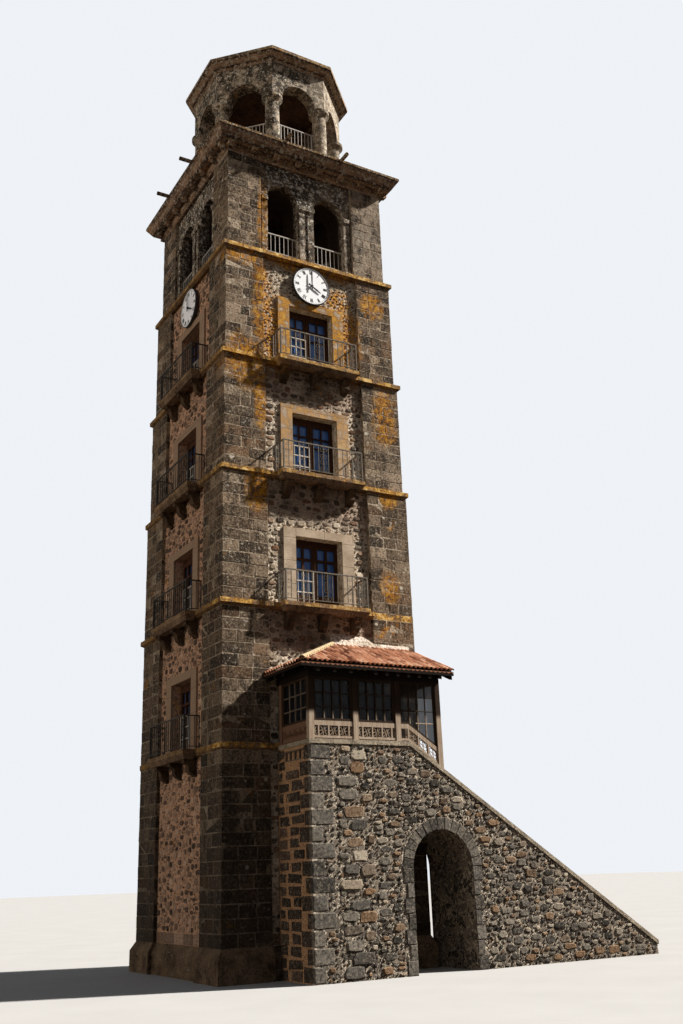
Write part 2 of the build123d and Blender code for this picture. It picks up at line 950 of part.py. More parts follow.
def roof_wedge(offset, overhang):
    """Everything under a hipped lean-to roof plane, down to below the eaves."""
    slope = tan(radians(roof_pitch))
    y_front = porch_front()
    y_back = -panel_plane(1)
    y_eave = y_front - overhang
    x_eave = porch_left - overhang
    z = rafter_plane(offset)
    low = coping_level()
    run_back = y_back - y_front
    front = side_profile([(y_eave, low), (y_back, low), (y_back, z + run_back * slope),
                          (y_eave, z - overhang * slope)], x_eave, roof_right)
    reach = roof_right - porch_left
    left = front_profile([(x_eave, low), (roof_right, low), (roof_right, z + reach * slope),
                          (x_eave, z - overhang * slope)], y_eave, y_back)
    return front & left


def clear_of_piers(shape):
    """Cuts a porch piece back to the face of the corner piers."""
    half = storey_half_widths[1]
    z1 = levels[2]
    for x0, x1 in ((-half, -core_half), (core_half, half)):
        shape -= block(x0, x1, -half, -core_half, 0, z1)
    return shape


def porch_roof():
    under = roof_wedge(rafter_height, roof_overhang)
    shell = roof_wedge(rafter_height + roof_thickness, roof_overhang) - under
    return clear_of_piers(shell)


def rafter(x):
    """A rafter from the tower down over the front plate."""
    slope = tan(radians(roof_pitch))
    z = rafter_plane(0)
    deep = rafter_height / cos(radians(roof_pitch))
    y0 = porch_front() - roof_overhang + rafter_set_back
    y1 = -storey_half_widths[1]
    a = z + (y0 - porch_front()) * slope
    b = z + (y1 - porch_front()) * slope
    return side_profile([(y0, a), (y1, b), (y1, b + deep), (y0, a + deep)],
                        x - rafter_width / 2, x + rafter_width / 2)


def porch_rafters():
    """Front rafters, and jack rafters on both sides of the hip."""
    slope = tan(radians(roof_pitch))
    deep = rafter_height / cos(radians(roof_pitch))
    z = rafter_plane(0)
    x_first = porch_left + porch_depth + rafter_width
    x_last = roof_right - rafter_width
    rafters = [rafter(x_first + (x_last - x_first) * k / (rafter_count - 1)) for k in range(rafter_count)]
    tail = rafter_set_back - roof_overhang
    for k in range(jack_rafters):
        along = first_jack + rafter_width + jack_spacing * (k + 1)
        run = min(along, porch_depth) - rafter_width
        outline = [(porch_left + tail, z + tail * slope), (porch_left + run, z + run * slope),
                   (porch_left + run, z + run * slope + deep), (porch_left + tail, z + tail * slope + deep)]
        y = porch_front() + along
        rafters.append(front_profile(outline, y - rafter_width / 2, y + rafter_width / 2))
        along = first_jack + jack_spacing * k
        run = along - rafter_width
        outline = [(porch_front() + tail, z + tail * slope), (porch_front() + run, z + run * slope),
                   (porch_front() + run, z + run * slope + deep),
                   (porch_front() + tail, z + tail * slope + deep)]
        x = porch_left + along
        rafters.append(side_profile(outline, x - rafter_width / 2, x + rafter_width / 2))
    return rafters


def porch_flashing():
    """A mortar fillet where the tiles meet the tower."""
    slope = tan(radians(roof_pitch))
    z = rafter_plane(rafter_height + roof_thickness)
    y1 = -panel_plane(1)
    y0 = -storey_half_widths[1] - flashing_depth
    x0 = porch_left + porch_depth
    a = z + (y0 - porch_front()) * slope
    b = z + (y1 - porch_front()) * slope
    fillet = side_profile([(y0, a), (y1, b), (y1, b + flashing_height)], x0, roof_right)
    return clear_of_piers(fillet)


save("plinth", [plinth()])
save("corner_piers", corner_piers())
save("ground_storey_walls", [turned(panel_wall(0), face) for face in face_angles])
for i in range(1, 5):
    walls = [turned(panel_wall(i) - door_opening(i), face) for face in face_angles]
    save(f"{storey_names[i]}_storey_walls", walls)
save("belfry_walls", [turned(belfry_wall(), face) for face in face_angles])
save("string_courses", [string_course(i) for i in range(len(string_projections))])
save("floors", floors())
save("main_cornice", [main_cornice()])
save("cornice_modillions", modillions())
save("waterspouts", waterspouts())

save("lantern_piers", lantern_columns())
save("lantern_arches", [lantern_arcade()])
save("lantern_cornice", [lantern_cornice()])
save("lantern_roof", [lantern_roof()])
save("lantern_railings", lantern_railings())
save("belfry_railings", belfry_railings())

save("door_surrounds", [turned(door_surround(i), face) for face, i in balcony_places()])
save("balcony_doors", [turned(door_leaves(i), face) for face, i in door_places()])
save("door_glass", [turned(door_glass(i), face) for face, i in door_places()])
save("balcony_slabs", [turned(balcony_slab(i), face) for face, i in balcony_places()])
save("balcony_corbels", [turned(c, face) for face, i in balcony_places() for c in balcony_corbels(i)])
save("balcony_front_rails", [turned(balcony_front_rail(i), face) for face, i in balcony_places()])
save("balcony_side_rails", [turned(r, face) for face, i in balcony_places() for r in balcony_side_rails(i)])

save("clock_dials", [turned(clock_dial(), face) for face in ("front", "left")])
for face in ("front", "left"):
    save(f"{face}_hour_hand", [turned(hour_hand(), face)])
    save(f"{face}_minute_hand", [turned(minute_hand(), face)])

save("porch_base", [porch_base()])
save("stair_walls", stair_walls())
save("stair_core", [stair_core()])
save("stair_steps", stair_steps())
save("porch_coping", porch_coping())
save("porch_landing", [porch_landing()])
save("porch_posts", porch_posts())
save("porch_plates", [porch_plates()])
save("porch_balustrades", porch_balustrades())
side_frame, side_glass = side_window()
save("porch_windows", [porch_window(*bay(k)) for k in range(post_count - 1)] + [side_frame])
save("porch_glass", [window_glass(*bay(k)) for k in range(post_count - 1)] + [side_glass])
save("porch_rafters", porch_rafters())
save("porch_roof", [porch_roof()])
save("porch_flashing", [porch_flashing()])
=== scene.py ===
import functools
import math
import random

import bpy
from mathutils import Matrix, Vector


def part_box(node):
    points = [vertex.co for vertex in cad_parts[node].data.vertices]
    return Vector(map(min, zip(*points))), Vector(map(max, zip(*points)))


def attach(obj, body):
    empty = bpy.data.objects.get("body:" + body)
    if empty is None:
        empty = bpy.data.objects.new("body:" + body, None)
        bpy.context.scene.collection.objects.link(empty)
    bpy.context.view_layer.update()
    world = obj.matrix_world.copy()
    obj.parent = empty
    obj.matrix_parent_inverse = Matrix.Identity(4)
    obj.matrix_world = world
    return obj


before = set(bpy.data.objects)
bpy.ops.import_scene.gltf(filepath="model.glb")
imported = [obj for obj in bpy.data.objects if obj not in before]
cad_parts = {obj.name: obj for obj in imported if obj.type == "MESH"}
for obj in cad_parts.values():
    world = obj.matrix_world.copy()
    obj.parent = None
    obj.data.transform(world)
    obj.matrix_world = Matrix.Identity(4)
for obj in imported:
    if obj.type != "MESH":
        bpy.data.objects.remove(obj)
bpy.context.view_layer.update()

BODY = "tower"
FACE_ANGLES = {"front": 0, "right": 90, "back": 180, "left": -90}
SHAFT_STOREYS = ["ground", "first", "second", "third", "fourth"]
DOORS = [(face, name) for face in FACE_ANGLES for name in SHAFT_STOREYS[1:]]
BALCONIES = DOORS[1:]

# Sizes shared with the frame, in metres
CORE = 1.6
PANEL_RECESS = 0.11
DOOR_HALF = 0.73
DOOR_HEIGHT = 1.96
SURROUND = 0.37
LINTEL = 0.23
DOOR_SET_BACK = 0.24
DOOR_STILE = 0.09
DOOR_PANEL = 0.40
BALCONY_REACH = 0.38
RAIL_INSET = 0.045
PORCH_PITCH = math.radians(23.9)
POSTS = [-1.29, -0.045, 1.20, 2.445]
POST_HALF = 0.07
STAIR_START = 1.5
STAIR_SLOPE = 5.14 / 29 / 0.27
VAULT_X = 2.3
VAULT_Z = 2.41
VAULT_RADIUS = 0.885
COPING_TOP = 5.43
FRET_FOOT = 0.08
FRET_TOP = 0.325
HANDRAIL = 0.44
EAVE_SHADE = 6.08
COPING_HEIGHT = 0.11

# Masonry: half width and half height from least to most, and how dense
COURSE = 0.315
JOINT = 0.016
PROUD = 0.004
PANEL_STONES = [(0.08, 0.15, 0.05, 0.09, 25), (0.03, 0.07, 0.025, 0.045, 170)]
LEFT_STONES = [(0.07, 0.14, 0.05, 0.09, 60), (0.025, 0.05, 0.02, 0.035, 60)]
PORCH_BLOCKS = [(0.19, 0.34, 0.11, 0.15, 30), (0.10, 0.17, 0.07, 0.11, 25), (0.05, 0.09, 0.035, 0.06, 70),
                (0.025, 0.05, 0.02, 0.035, 230)]
PORCH_RUBBLE = [(0.12, 0.20, 0.07, 0.10, 5), (0.06, 0.12, 0.035, 0.06, 110), (0.025, 0.05, 0.018, 0.03, 230)]
PORCH_BREAK = 0.35
CELL = 0.4

# Roof tiles
TILE_PITCH = 0.138
TILE_STEP = 0.30
TILE_THICKNESS = 0.012
TILE_SIDES = 5
EAVE_OVERHANG = 0.055

# Joinery, ironwork and dials
DOOR_RAILS = (1.10, 1.41)
LATTICE_RAILS = (0.14, 0.47, 0.79, 1.08)
WINDOW_RAILS = (6.21, 6.56)
WINDOW_GAP = 0.06
SCROLL_COLUMNS = ((-1.185, 0.05), (-0.703, 0.05), (0.0, 0.075), (0.703, 0.05), (1.185, 0.05))
NUMERAL_RADIUS = 0.475
MINUTE_RADIUS = 0.558
RIM_RADIUS = 0.609

# Where the looks change from one face to another
FRONT = (-2.2, -2.5)
LEFT = (-2.2, -2.4)
PORCH_LEFT = (-1.2, -1.3)
PLAIN = (0.5, 0.5, 0.5)

rng = random.Random(7)


def wall_node(name):
    return "belfry_walls" if name == "belfry" else f"{name}_storey_walls"


def storey_floor(name):
    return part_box(wall_node(name))[0].z


def panel_plane(name):
    """Distance of a storey's recessed panels from the middle of the tower."""
    if name == "belfry":
        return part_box("belfry_railings")[1].y + 0.075
    return -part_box(wall_node(name))[0].y


def fall(x):
    """How far the stair has dropped at x."""
    return max(0.0, x - STAIR_START) * STAIR_SLOPE


def about(middle, half):
    return (middle - half, middle + half)


def quarters(a, b):
    """The three points that divide a length in four."""
    return [a + (b - a) * n / 4 for n in (1, 2, 3)]


# Materials

class Value:
    """A value in a node tree, which adds and multiplies like a number."""

    def __init__(self, graph, socket):
        self.graph = graph
        self.socket = socket

    def __add__(self, other):
        return self.graph.math("ADD", self, other)

    def __sub__(self, other):
        return self.graph.math("SUBTRACT", self, other)

    def __rsub__(self, other):
        return self.graph.math("SUBTRACT", other, self)

    def __mul__(self, other):
        return self.graph.math("MULTIPLY", self, other)

    def __abs__(self):
        return self.graph.math("ABSOLUTE", self)


class Graph:
    """A node tree built from a few short calls."""

    def __init__(self, tree):
        self.tree = tree

    def node(self, kind, inputs=None, **settings):
        node = self.tree.nodes.new(kind)
        for key, value in settings.items():
            setattr(node, key, value)
        for key, value in (inputs or {}).items():
            if isinstance(value, Value):
                self.tree.links.new(value.socket, node.inputs[key])
            else:
                node.inputs[key].default_value = value
        return node

    def value(self, kind, output, inputs=None, **settings):
        return Value(self, self.node(kind, inputs, **settings).outputs[output])

    def math(self, operation, a, b=0.0):
        return self.value("ShaderNodeMath", 0, {0: a, 1: b}, operation=operation)

    def most(self, *values):
        return functools.reduce(lambda a, b: self.math("MAXIMUM", a, b), values)


class Shader(Graph):
    """A material; base is its colour so far, and each step lays another over it."""

    def __init__(self, name, roughness=0.9, specular=0.05):
        self.material = bpy.data.materials.new(name)
        self.material.use_nodes = True
        super().__init__(self.material.node_tree)
        self.bsdf = self.tree.nodes["Principled BSDF"]
        self.bsdf.inputs["Roughness"].default_value = roughness
        self.bsdf.inputs["Specular IOR Level"].default_value = specular
        self.coords = self.value("ShaderNodeTexCoord", "Object")
        self.base = None
        self.relief = None

    def noise(self, scale, detail=4.0, roughness=0.6, distortion=0.0, stretch=None):
        vector = self.coords
        if stretch:
            vector = self.value("ShaderNodeVectorMath", 0, {0: vector, 1: stretch}, operation="MULTIPLY")
        return self.value("ShaderNodeTexNoise", "Fac", {
            "Vector": vector, "Scale": scale, "Detail": detail, "Roughness": roughness,
            "Distortion": distortion})

    def channel(self, colour, name):
        return self.value("ShaderNodeSeparateColor", name, {"Color": colour})

    def cells(self, scale, vector=None):
        """Distance from the middle of a cell, and a tone for each cell."""
        node = self.node("ShaderNodeTexVoronoi", {"Vector": vector or self.coords, "Scale": scale})
        distance, colour = (Value(self, node.outputs[name]) for name in ("Distance", "Color"))
        return distance, self.channel(colour, "Red")

    def bricks(self, along, width, height, joint):
        """1 in the joints of coursed blocks and 0 on the blocks, and a tone for each block."""
        vector = self.value("ShaderNodeCombineXYZ", 0, {0: along, 1: self.axis("Z")})
        node = self.node("ShaderNodeTexBrick", {
            "Vector": vector, "Scale": 1.0, "Mortar Size": joint, "Mortar Smooth": 0.3,
            "Brick Width": width, "Row Height": height, "Color1": (0.2, 0.2, 0.2, 1),
            "Color2": (0.8, 0.8, 0.8, 1), "Mortar": (0.5, 0.5, 0.5, 1)})
        joints, colour = (Value(self, node.outputs[name]) for name in ("Fac", "Color"))
        return joints, self.channel(colour, "Red")

    def attribute(self, name):
        """One channel of the tone that each stone carries."""
        return self.channel(self.value("ShaderNodeAttribute", "Color", attribute_name="stone"), name)

    def axis(self, name):
        return self.value("ShaderNodeSeparateXYZ", name, {0: self.coords})

    def along_faces(self):
        """A run along the four square faces."""
        return self.axis("X") + self.axis("Y")

    def upward(self):
        """How far a surface faces up."""
        normal = self.value("ShaderNodeNewGeometry", "Normal")
        return self.value("ShaderNodeSeparateXYZ", "Z", {0: normal})

    def ramp(self, factor, *stops):
        """Colours along a factor, each stop a position and a colour."""
        node = self.node("ShaderNodeValToRGB", {"Fac": factor})
        elements = node.color_ramp.elements
        while len(elements) < len(stops):
            elements.new(0.5)
        for element, (position, *colour) in zip(elements, stops):
            element.position = position
            element.color = (*colour, 1.0)
        return Value(self, node.outputs["Color"])

    def fade(self, value, low, high, out_low=0.0, out_high=1.0, clamp=True):
        """A value, or an axis given by its name, mapped from one range to another."""
        if isinstance(value, str):
            value = self.axis(value)
        return self.value("ShaderNodeMapRange", "Result", {
            "Value": value, "From Min": low, "From Max": high, "To Min": out_low,
            "To Max": out_high}, clamp=clamp)

    def mix(self, factor, a, b):
        a, b = (c if isinstance(c, Value) else (*c, 1.0) for c in (a, b))
        return self.value("ShaderNodeMix", 2, {0: factor, 6: a, 7: b}, data_type="RGBA")

    def tint(self, mask, colour):
        self.base = self.mix(mask, self.base, colour)

    def blot(self, value, low, high, amount, colour):
        """Lays a colour where a value goes from low to high."""
        self.tint(self.fade(value, low, high, 0.0, amount), colour)

    def surface(self, name, value):
        self.tree.links.new(value.socket, self.bsdf.inputs[name])

    def bump(self, height, distance, strength=1.0):
        inputs = {"Height": height, "Strength": strength, "Distance": distance}
        if self.relief:
            inputs["Normal"] = self.relief
        self.relief = self.value("ShaderNodeBump", "Normal", inputs)
        self.surface("Normal", self.relief)

    def done(self):
        self.surface("Base Color", self.base)
        return self.material


def scaled(colour, factor):
    return tuple(min(1.0, c * factor) for c in colour)


LICHEN_ZONES = [
    (-1.60, 18.0, 0.38, 1.9), (-2.2, 16.1, 0.75, 0.9), (1.35, 17.6, 0.38, 1.5), (2.35, 15.2, 0.45, 1.0),
    (2.1, 19.0, 0.5, 0.5), (-1.2, 17.3, 0.5, 1.5), (1.0, 18.9, 0.55, 0.45), (-1.5, 21.2, 0.22, 1.6),
    (-2.2, 19.6, 0.7, 0.35), (-1.9, 12.3, 0.4, 0.7), (2.3, 12.6, 0.4, 0.35), (-1.75, 14.9, 0.22, 0.9),
    (2.2, 9.9, 0.35, 0.5), (0.0, 19.75, 1.6, 0.25),
]


def lichen_zones(s):
    """Where the front of the tower is thick with orange lichen."""
    wander = s.fade(s.noise(1.4, detail=6, roughness=0.7), 0.2, 0.8, -0.45, 0.45)
    near = []
    for x, z, wide, high in LICHEN_ZONES:
        across = s.fade("X", x - wide, x + wide, -1.0, 1.0, clamp=False)
        up = s.fade("Z", z - high, z + high, -1.0, 1.0, clamp=False)
        near.append(1.0 - s.math("SQRT", across * across + up * up))
    return s.fade(s.most(*near) + wander, -0.1, 0.4) * s.fade("Y", *FRONT)


def lichen(s, orange, white):
    """Patches of yellow-orange and pale lichen."""
    if orange:
        spots = s.noise(7.0, detail=8, roughness=0.75)
        patches = s.noise(1.1, detail=9, roughness=0.75)
        loose = s.fade(patches, 0.66 - 0.08 * orange, 0.71 - 0.08 * orange, 0.0, 0.8)
        mask = s.most(loose, lichen_zones(s) * min(1.0, 1.4 * orange)) * s.fade(spots, 0.41, 0.48)
        fine = s.fade(s.noise(26.0, detail=6, roughness=0.8), 0.37, 0.46, 0.0, 0.92)
        s.tint(mask * fine, s.ramp(spots, (0.43, 0.12, 0.042, 0.006), (0.50, 0.33, 0.125, 0.008),
                                   (0.58, 0.52, 0.25, 0.015), (0.68, 0.58, 0.40, 0.13)))
    if white:
        pale = s.noise(11.0, detail=6, roughness=0.7)
        area = s.noise(0.8, detail=5, roughness=0.6, distortion=0.4)
        mask = s.fade(pale, 0.64 - 0.12 * white, 0.67 - 0.11 * white, 0.0, 0.85)
        s.tint(mask * s.fade(area, 0.55 - 0.35 * white, 0.62 - 0.25 * white), (0.42, 0.38, 0.31))


def round_spots(s):
    """Scattered round patches of cream lichen, a hand wide."""
    distance, chosen = s.cells(2.3)
    wobble = distance + s.fade(s.noise(26.0), 0.0, 1.0, -0.07, 0.07)
    size = s.fade(chosen, 0.55, 1.0, 0.0, 0.22)
    s.blot(size - wobble, 0.0, 0.03, 0.85, (0.50, 0.45, 0.36))


def painted_balcony_shade(s):
    """Painted shade on the wall under the front balconies."""
    depths = [storey_floor(name) - s.axis("Z") for name in SHAFT_STOREYS[2:]]
    near = [s.fade(depth, 1.5, 1.0) * s.fade(depth, 0.0, 0.1) for depth in depths]
    return s.most(*near) * s.fade("Y", -2.3, -2.5)


def porch_shade(s):
    """Painted shade: darker stone inside the porch."""
    low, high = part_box("porch_windows")
    across = s.fade("X", low.x, low.x + 0.05) * s.fade("X", 2.50, 2.45)
    up = s.fade("Z", 5.0, 5.1) * s.fade("Z", high.z + 0.1, high.z)
    s.tint(across * up * s.fade("Y", -2.2, -2.3, 0.0, 0.93), (0.012, 0.008, 0.006))


def painted_ground_shade(s, amount):
    """Painted shade: darker stone towards the ground."""
    s.blot("Z", 8.5, 0.5, amount, (0.012, 0.009, 0.007))


def pits(s, amount, scale):
    """Dark pores and pale crumbs of basalt worn by wind and rain."""
    grain = s.noise(scale, detail=9, roughness=0.8)
    s.blot(grain, 0.54, 0.60, amount * 0.7, (0.38, 0.31, 0.22))
    s.blot(grain, 0.48, 0.43, amount, (0.014, 0.010, 0.007))
    s.bump(grain, 0.02, 0.7)


def ashlar_material():
    """Coursed basalt blocks, each with its own tone."""
    s = Shader("ashlar_blocks")
    s.base = s.ramp(s.attribute("Red"), (0.0, 0.030, 0.022, 0.016), (0.3, 0.080, 0.056, 0.037),
                    (0.6, 0.145, 0.102, 0.066), (0.85, 0.21, 0.155, 0.105), (1.0, 0.32, 0.24, 0.165))
    s.blot(s.attribute("Green"), 0.75, 1.0, 0.6, (0.17, 0.085, 0.04))
    stain = s.noise(1.0, detail=9, roughness=0.78, stretch=(2.4, 2.4, 1.2))
    s.blot(stain, 0.50, 0.42, 0.85, (0.020, 0.014, 0.010))
    s.blot(stain, 0.55, 0.66, 0.5, (0.30, 0.22, 0.15))
    pits(s, 0.9, 15.0)
    high = s.fade("Z", 19.4, 20.4, 0.0, 0.45) * s.fade("X", 1.2, 1.5)
    s.tint(high * s.fade(stain, 0.42, 0.55), (0.42, 0.35, 0.27))
    lichen(s, 0.6, 0.35)
    round_spots(s)
    # Painted shade towards the ground.
    painted_ground_shade(s, 0.78)
    porch_shade(s)
    s.bump(s.noise(70.0, detail=6, roughness=0.8), 0.006)
    return s.done()


def rubble_material():
    """Small stones of the panels: pale and dark on the front, nearly black on the left."""
    s = Shader("rubble_stones")
    tone = s.attribute("Red")
    s.base = s.ramp(tone, (0.0, 0.035, 0.028, 0.022), (0.35, 0.12, 0.095, 0.07), (0.6, 0.30, 0.235, 0.17),
                    (0.8, 0.50, 0.41, 0.31), (1.0, 0.74, 0.64, 0.50))
    s.blot(s.attribute("Green"), 0.7, 1.0, 0.7, (0.22, 0.09, 0.035))
    s.tint(s.fade("X", *LEFT), s.ramp(tone, (0.0, 0.045, 0.032, 0.026), (0.4, 0.17, 0.11, 0.08),
                                      (1.0, 0.62, 0.42, 0.30)))
    pits(s, 0.7, 22.0)
    # Painted shade under the front balconies.
    s.tint(painted_balcony_shade(s) * 0.45, (0.08, 0.05, 0.036))
    lichen(s, 0.75, 0.2)
    porch_shade(s)
    return s.done()


def porch_stone_material():
    """Grey field stones on the porch's front, nearly black on its left side."""
    s = Shader("porch_stones")
    tone = s.attribute("Red")
    s.base = s.ramp(tone, (0.0, 0.035, 0.032, 0.028), (0.4, 0.11, 0.10, 0.086), (0.7, 0.20, 0.175, 0.14),
                    (1.0, 0.40, 0.34, 0.26))
    s.blot(s.attribute("Green"), 0.6, 1.0, 0.75, (0.26, 0.145, 0.07))
    left = s.fade("X", *PORCH_LEFT) * s.fade("Y", -4.52, -4.46)
    s.tint(left, s.ramp(tone, (0.0, 0.022, 0.017, 0.014), (0.6, 0.05, 0.038, 0.03), (1.0, 0.12, 0.08, 0.06)))
    pits(s, 0.75, 15.0)
    lichen(s, 0.35, 0.15)
    return s.done()


def mortar_material(name, pale, dark, orange, left_tint=None, ground_shade=0.0):
    """Weathered lime mortar full of small stones, warmer on the left face."""
    s = Shader(name, roughness=0.95)
    distance, tone = s.cells(15.0)
    stain = s.noise(1.3, detail=8, roughness=0.7)
    s.base = s.mix(s.fade(stain, 0.38, 0.6), dark, pale)
    if left_tint:
        patches = s.fade(stain, 0.4, 0.6)
        s.tint(s.fade("X", *LEFT, 0.0, 0.95), s.mix(stain, scaled(left_tint, 0.5), left_tint))
        away = s.fade(s.most(s.axis("X"), s.axis("Y")), 2.2, 2.4, 0.0, 0.85)
        s.tint(away, s.mix(patches, (0.16, 0.105, 0.07), (0.40, 0.29, 0.20)))
    s.blot(tone, 0.55, 0.9, 0.6, scaled(dark, 0.25))
    if left_tint:
        # Painted shade under the front balconies.
        s.tint(painted_balcony_shade(s) * 0.7, s.mix(patches, (0.10, 0.058, 0.042), (0.42, 0.29, 0.21)))
    grain = s.noise(34.0, detail=9, roughness=0.8)
    s.blot(grain, 0.49, 0.38, 0.85, scaled(pale, 0.15))
    lichen(s, orange, 0.1)
    # Painted shade towards the ground.
    if ground_shade:
        painted_ground_shade(s, ground_shade)
    porch_shade(s)
    s.bump(distance, -0.02)
    s.bump(grain, 0.02)
    return s.done()


def porch_wall_material():
    """Rubble drawn in the surface, for walls that carry no separate stones."""
    s = Shader("porch_wall", roughness=0.95)
    warp = s.value("ShaderNodeTexNoise", "Color", {"Vector": s.coords, "Scale": 3.0, "Detail": 3.0})
    vector = s.value("ShaderNodeVectorMath", 0, {0: s.coords, 1: warp}, operation="ADD")
    tone = s.cells(4.5, vector)[1]
    edge = s.value("ShaderNodeTexVoronoi", "Distance", {"Vector": vector, "Scale": 4.5},
                   feature="DISTANCE_TO_EDGE")
    grain = s.noise(34.0, detail=8, roughness=0.8)
    crumbs = s.fade(grain, 0.42, 0.58)
    s.base = s.mix(crumbs, (0.31, 0.25, 0.185), (0.64, 0.56, 0.44))
    left = s.fade("X", *PORCH_LEFT) * s.fade("Y", -4.5, -4.4)
    s.tint(left, s.mix(crumbs, (0.09, 0.046, 0.025), (0.62, 0.38, 0.215)))
    inside = s.fade(edge, 0.04, 0.09) * s.fade("X", -1.3, -1.2)
    s.tint(inside, s.ramp(tone, (0.0, 0.04, 0.033, 0.027), (0.5, 0.12, 0.10, 0.08), (1.0, 0.26, 0.21, 0.16)))
    s.blot(grain, 0.46, 0.36, 0.7, (0.025, 0.02, 0.016))
    s.bump(grain, 0.02)
    s.bump(inside, 0.03)
    return s.done()


def cornice_lines(s, eight_sided):
    """Painted shade in thin dark lines where small mouldings would run round under a cornice, with paler bands
    between them as painted highlights.
    """
    x, y = abs(s.axis("X")), abs(s.axis("Y"))
    reach = s.most(x, y)
    if eight_sided:
        reach = s.most(reach, (x + y) * 0.7071)
    wave = s.math("PINGPONG", reach, 0.10)
    line = s.fade(wave, 0.034, 0.014, 0.0, 0.8)
    s.bump(line, -0.02)
    s.tint(line, (0.016, 0.010, 0.007))
    s.blot(wave, 0.075, 0.090, 0.35, (0.40, 0.27, 0.17))


def top_crust(s, grain, amount):
    """Orange and cream lichen on ledges that face up."""
    spots = s.noise(5.0, detail=8, roughness=0.75)
    mask = s.fade(s.upward(), -0.3, -0.05) * s.fade(spots, 0.44, 0.50) * s.fade("Y", *FRONT, 0.3, 1.0)
    s.tint(mask * amount, s.ramp(spots, (0.41, 0.08, 0.032, 0.008), (0.48, 0.30, 0.12, 0.010),
                                 (0.54, 0.50, 0.27, 0.035), (0.61, 0.70, 0.52, 0.25)))
    crust = s.fade(s.upward(), -0.2, 0.5, 0.0, amount) * s.fade(grain, 0.48, 0.54)
    s.tint(crust * s.fade("Z", 17.5, 19.0, 0.5, 1.0) * s.fade("Y", *FRONT, 0.3, 0.75), (0.76, 0.61, 0.37))


def moulding_material(name, low, high, orange, white, crust=0.0, joints=0.75, lines=None):
    """Dressed stone of courses, slabs and cornices, with joints every so often."""
    s = Shader(name)
    stain = s.noise(2.2, detail=8, roughness=0.72)
    s.base = s.mix(s.fade(stain, 0.38, 0.62), low, high)
    grain = s.noise(24.0, detail=9, roughness=0.8)
    s.blot(grain, 0.48, 0.38, 0.85, scaled(low, 0.2))
    s.blot(grain, 0.52, 0.64, 0.5, scaled(high, 1.6))
    if lines:
        cornice_lines(s, lines == "eight")
    lichen(s, orange, white)
    if crust:
        top_crust(s, grain, crust)
    line = s.fade(s.math("PINGPONG", s.along_faces(), joints), 0.0, 0.010)
    s.base = s.mix(line, (0.03, 0.024, 0.018), s.base)
    s.bump(line, 0.01)
    s.bump(grain, 0.02, 0.7)
    s.bump(s.noise(6.0, detail=6), 0.03)
    return s.done()


def speckled_material(name, square, low, high, orange, white, inner):
    """Blocks crusted with black and white lichen, for the belfry and the lantern, with painted shade on the
    inside.
    """
    s = Shader(name)
    x, y = s.axis("X"), s.axis("Y")
    if square:
        along, depth = x + y, s.most(abs(x), abs(y))
    else:
        along, depth = s.math("ARCTAN2", y, x) * 2.4, s.math("SQRT", x * x + y * y)
    joint, tone = s.bricks(along, 0.52, 0.31, 0.010)
    s.base = s.mix(s.fade(tone, 0.2, 0.8), low, high)
    pits(s, 0.8, 22.0)
    s.tint(joint * 0.7, (0.26, 0.20, 0.14))
    dark = s.noise(3.0, detail=12, roughness=0.88)
    s.tint(s.fade(dark, 0.47, 0.50) * s.fade("X", 0.0, 0.9, 0.92, 0.6), (0.022, 0.018, 0.014))
    pale = s.noise(9.0, detail=8, roughness=0.76, distortion=0.3)
    s.blot(pale, 0.66 - 0.12 * white, 0.68 - 0.12 * white, 0.9, (0.58, 0.54, 0.46))
    lichen(s, orange, 0.0)
    # Painted shade: inner faces and deep reveals of the openings turn nearly black.
    s.blot(depth, inner, inner - 0.2, 0.96, (0.030, 0.017, 0.011))
    s.bump(joint, -0.010)
    return s.done()


def dressed_material():
    """Smooth tan stone of the door surrounds, with a few joints."""
    s = Shader("surround_stone")
    stain = s.noise(1.6, detail=7, roughness=0.65)
    s.base = s.mix(s.fade(stain, 0.38, 0.62), (0.33, 0.255, 0.18), (0.50, 0.40, 0.295))
    s.blot("X", *LEFT, 0.8, (0.29, 0.19, 0.125))
    grain = s.noise(26.0, detail=8, roughness=0.75)
    s.blot(grain, 0.46, 0.36, 0.7, (0.10, 0.07, 0.045))
    joint = s.bricks(s.along_faces(), 0.9, 0.65, 0.008)[0]
    s.tint(joint * 0.7, (0.10, 0.075, 0.05))
    spots = s.noise(3.6, detail=9, roughness=0.75)
    high = s.fade("Z", 11.0, 17.0) * s.fade("Y", *FRONT) * s.fade(spots, 0.42, 0.48, 0.0, 0.9)
    s.tint(high, s.ramp(spots, (0.46, 0.20, 0.09, 0.015), (0.55, 0.48, 0.22, 0.015), (0.65, 0.50, 0.34, 0.10)))
    s.bump(grain, 0.006)
    s.bump(joint, -0.006)
    return s.done()


def eave_light_and_side_tint(s, grain):
    """Wood of the porch: paler low on the front, below the eave's shadow line, as painted sunlight, and redder
    on the left side.
    """
    pale = s.fade("Z", EAVE_SHADE + 0.06, EAVE_SHADE - 0.06) * s.fade("Y", -4.3, -4.4)
    s.tint(pale, s.ramp(grain, (0.3, 0.20, 0.13, 0.08), (0.5, 0.34, 0.26, 0.19), (0.7, 0.46, 0.39, 0.31)))
    beside = s.fade("X", *PORCH_LEFT) * s.fade("Y", -4.40, -4.34)
    s.tint(beside, s.mix(grain, (0.06, 0.03, 0.018), (0.24, 0.14, 0.09)))


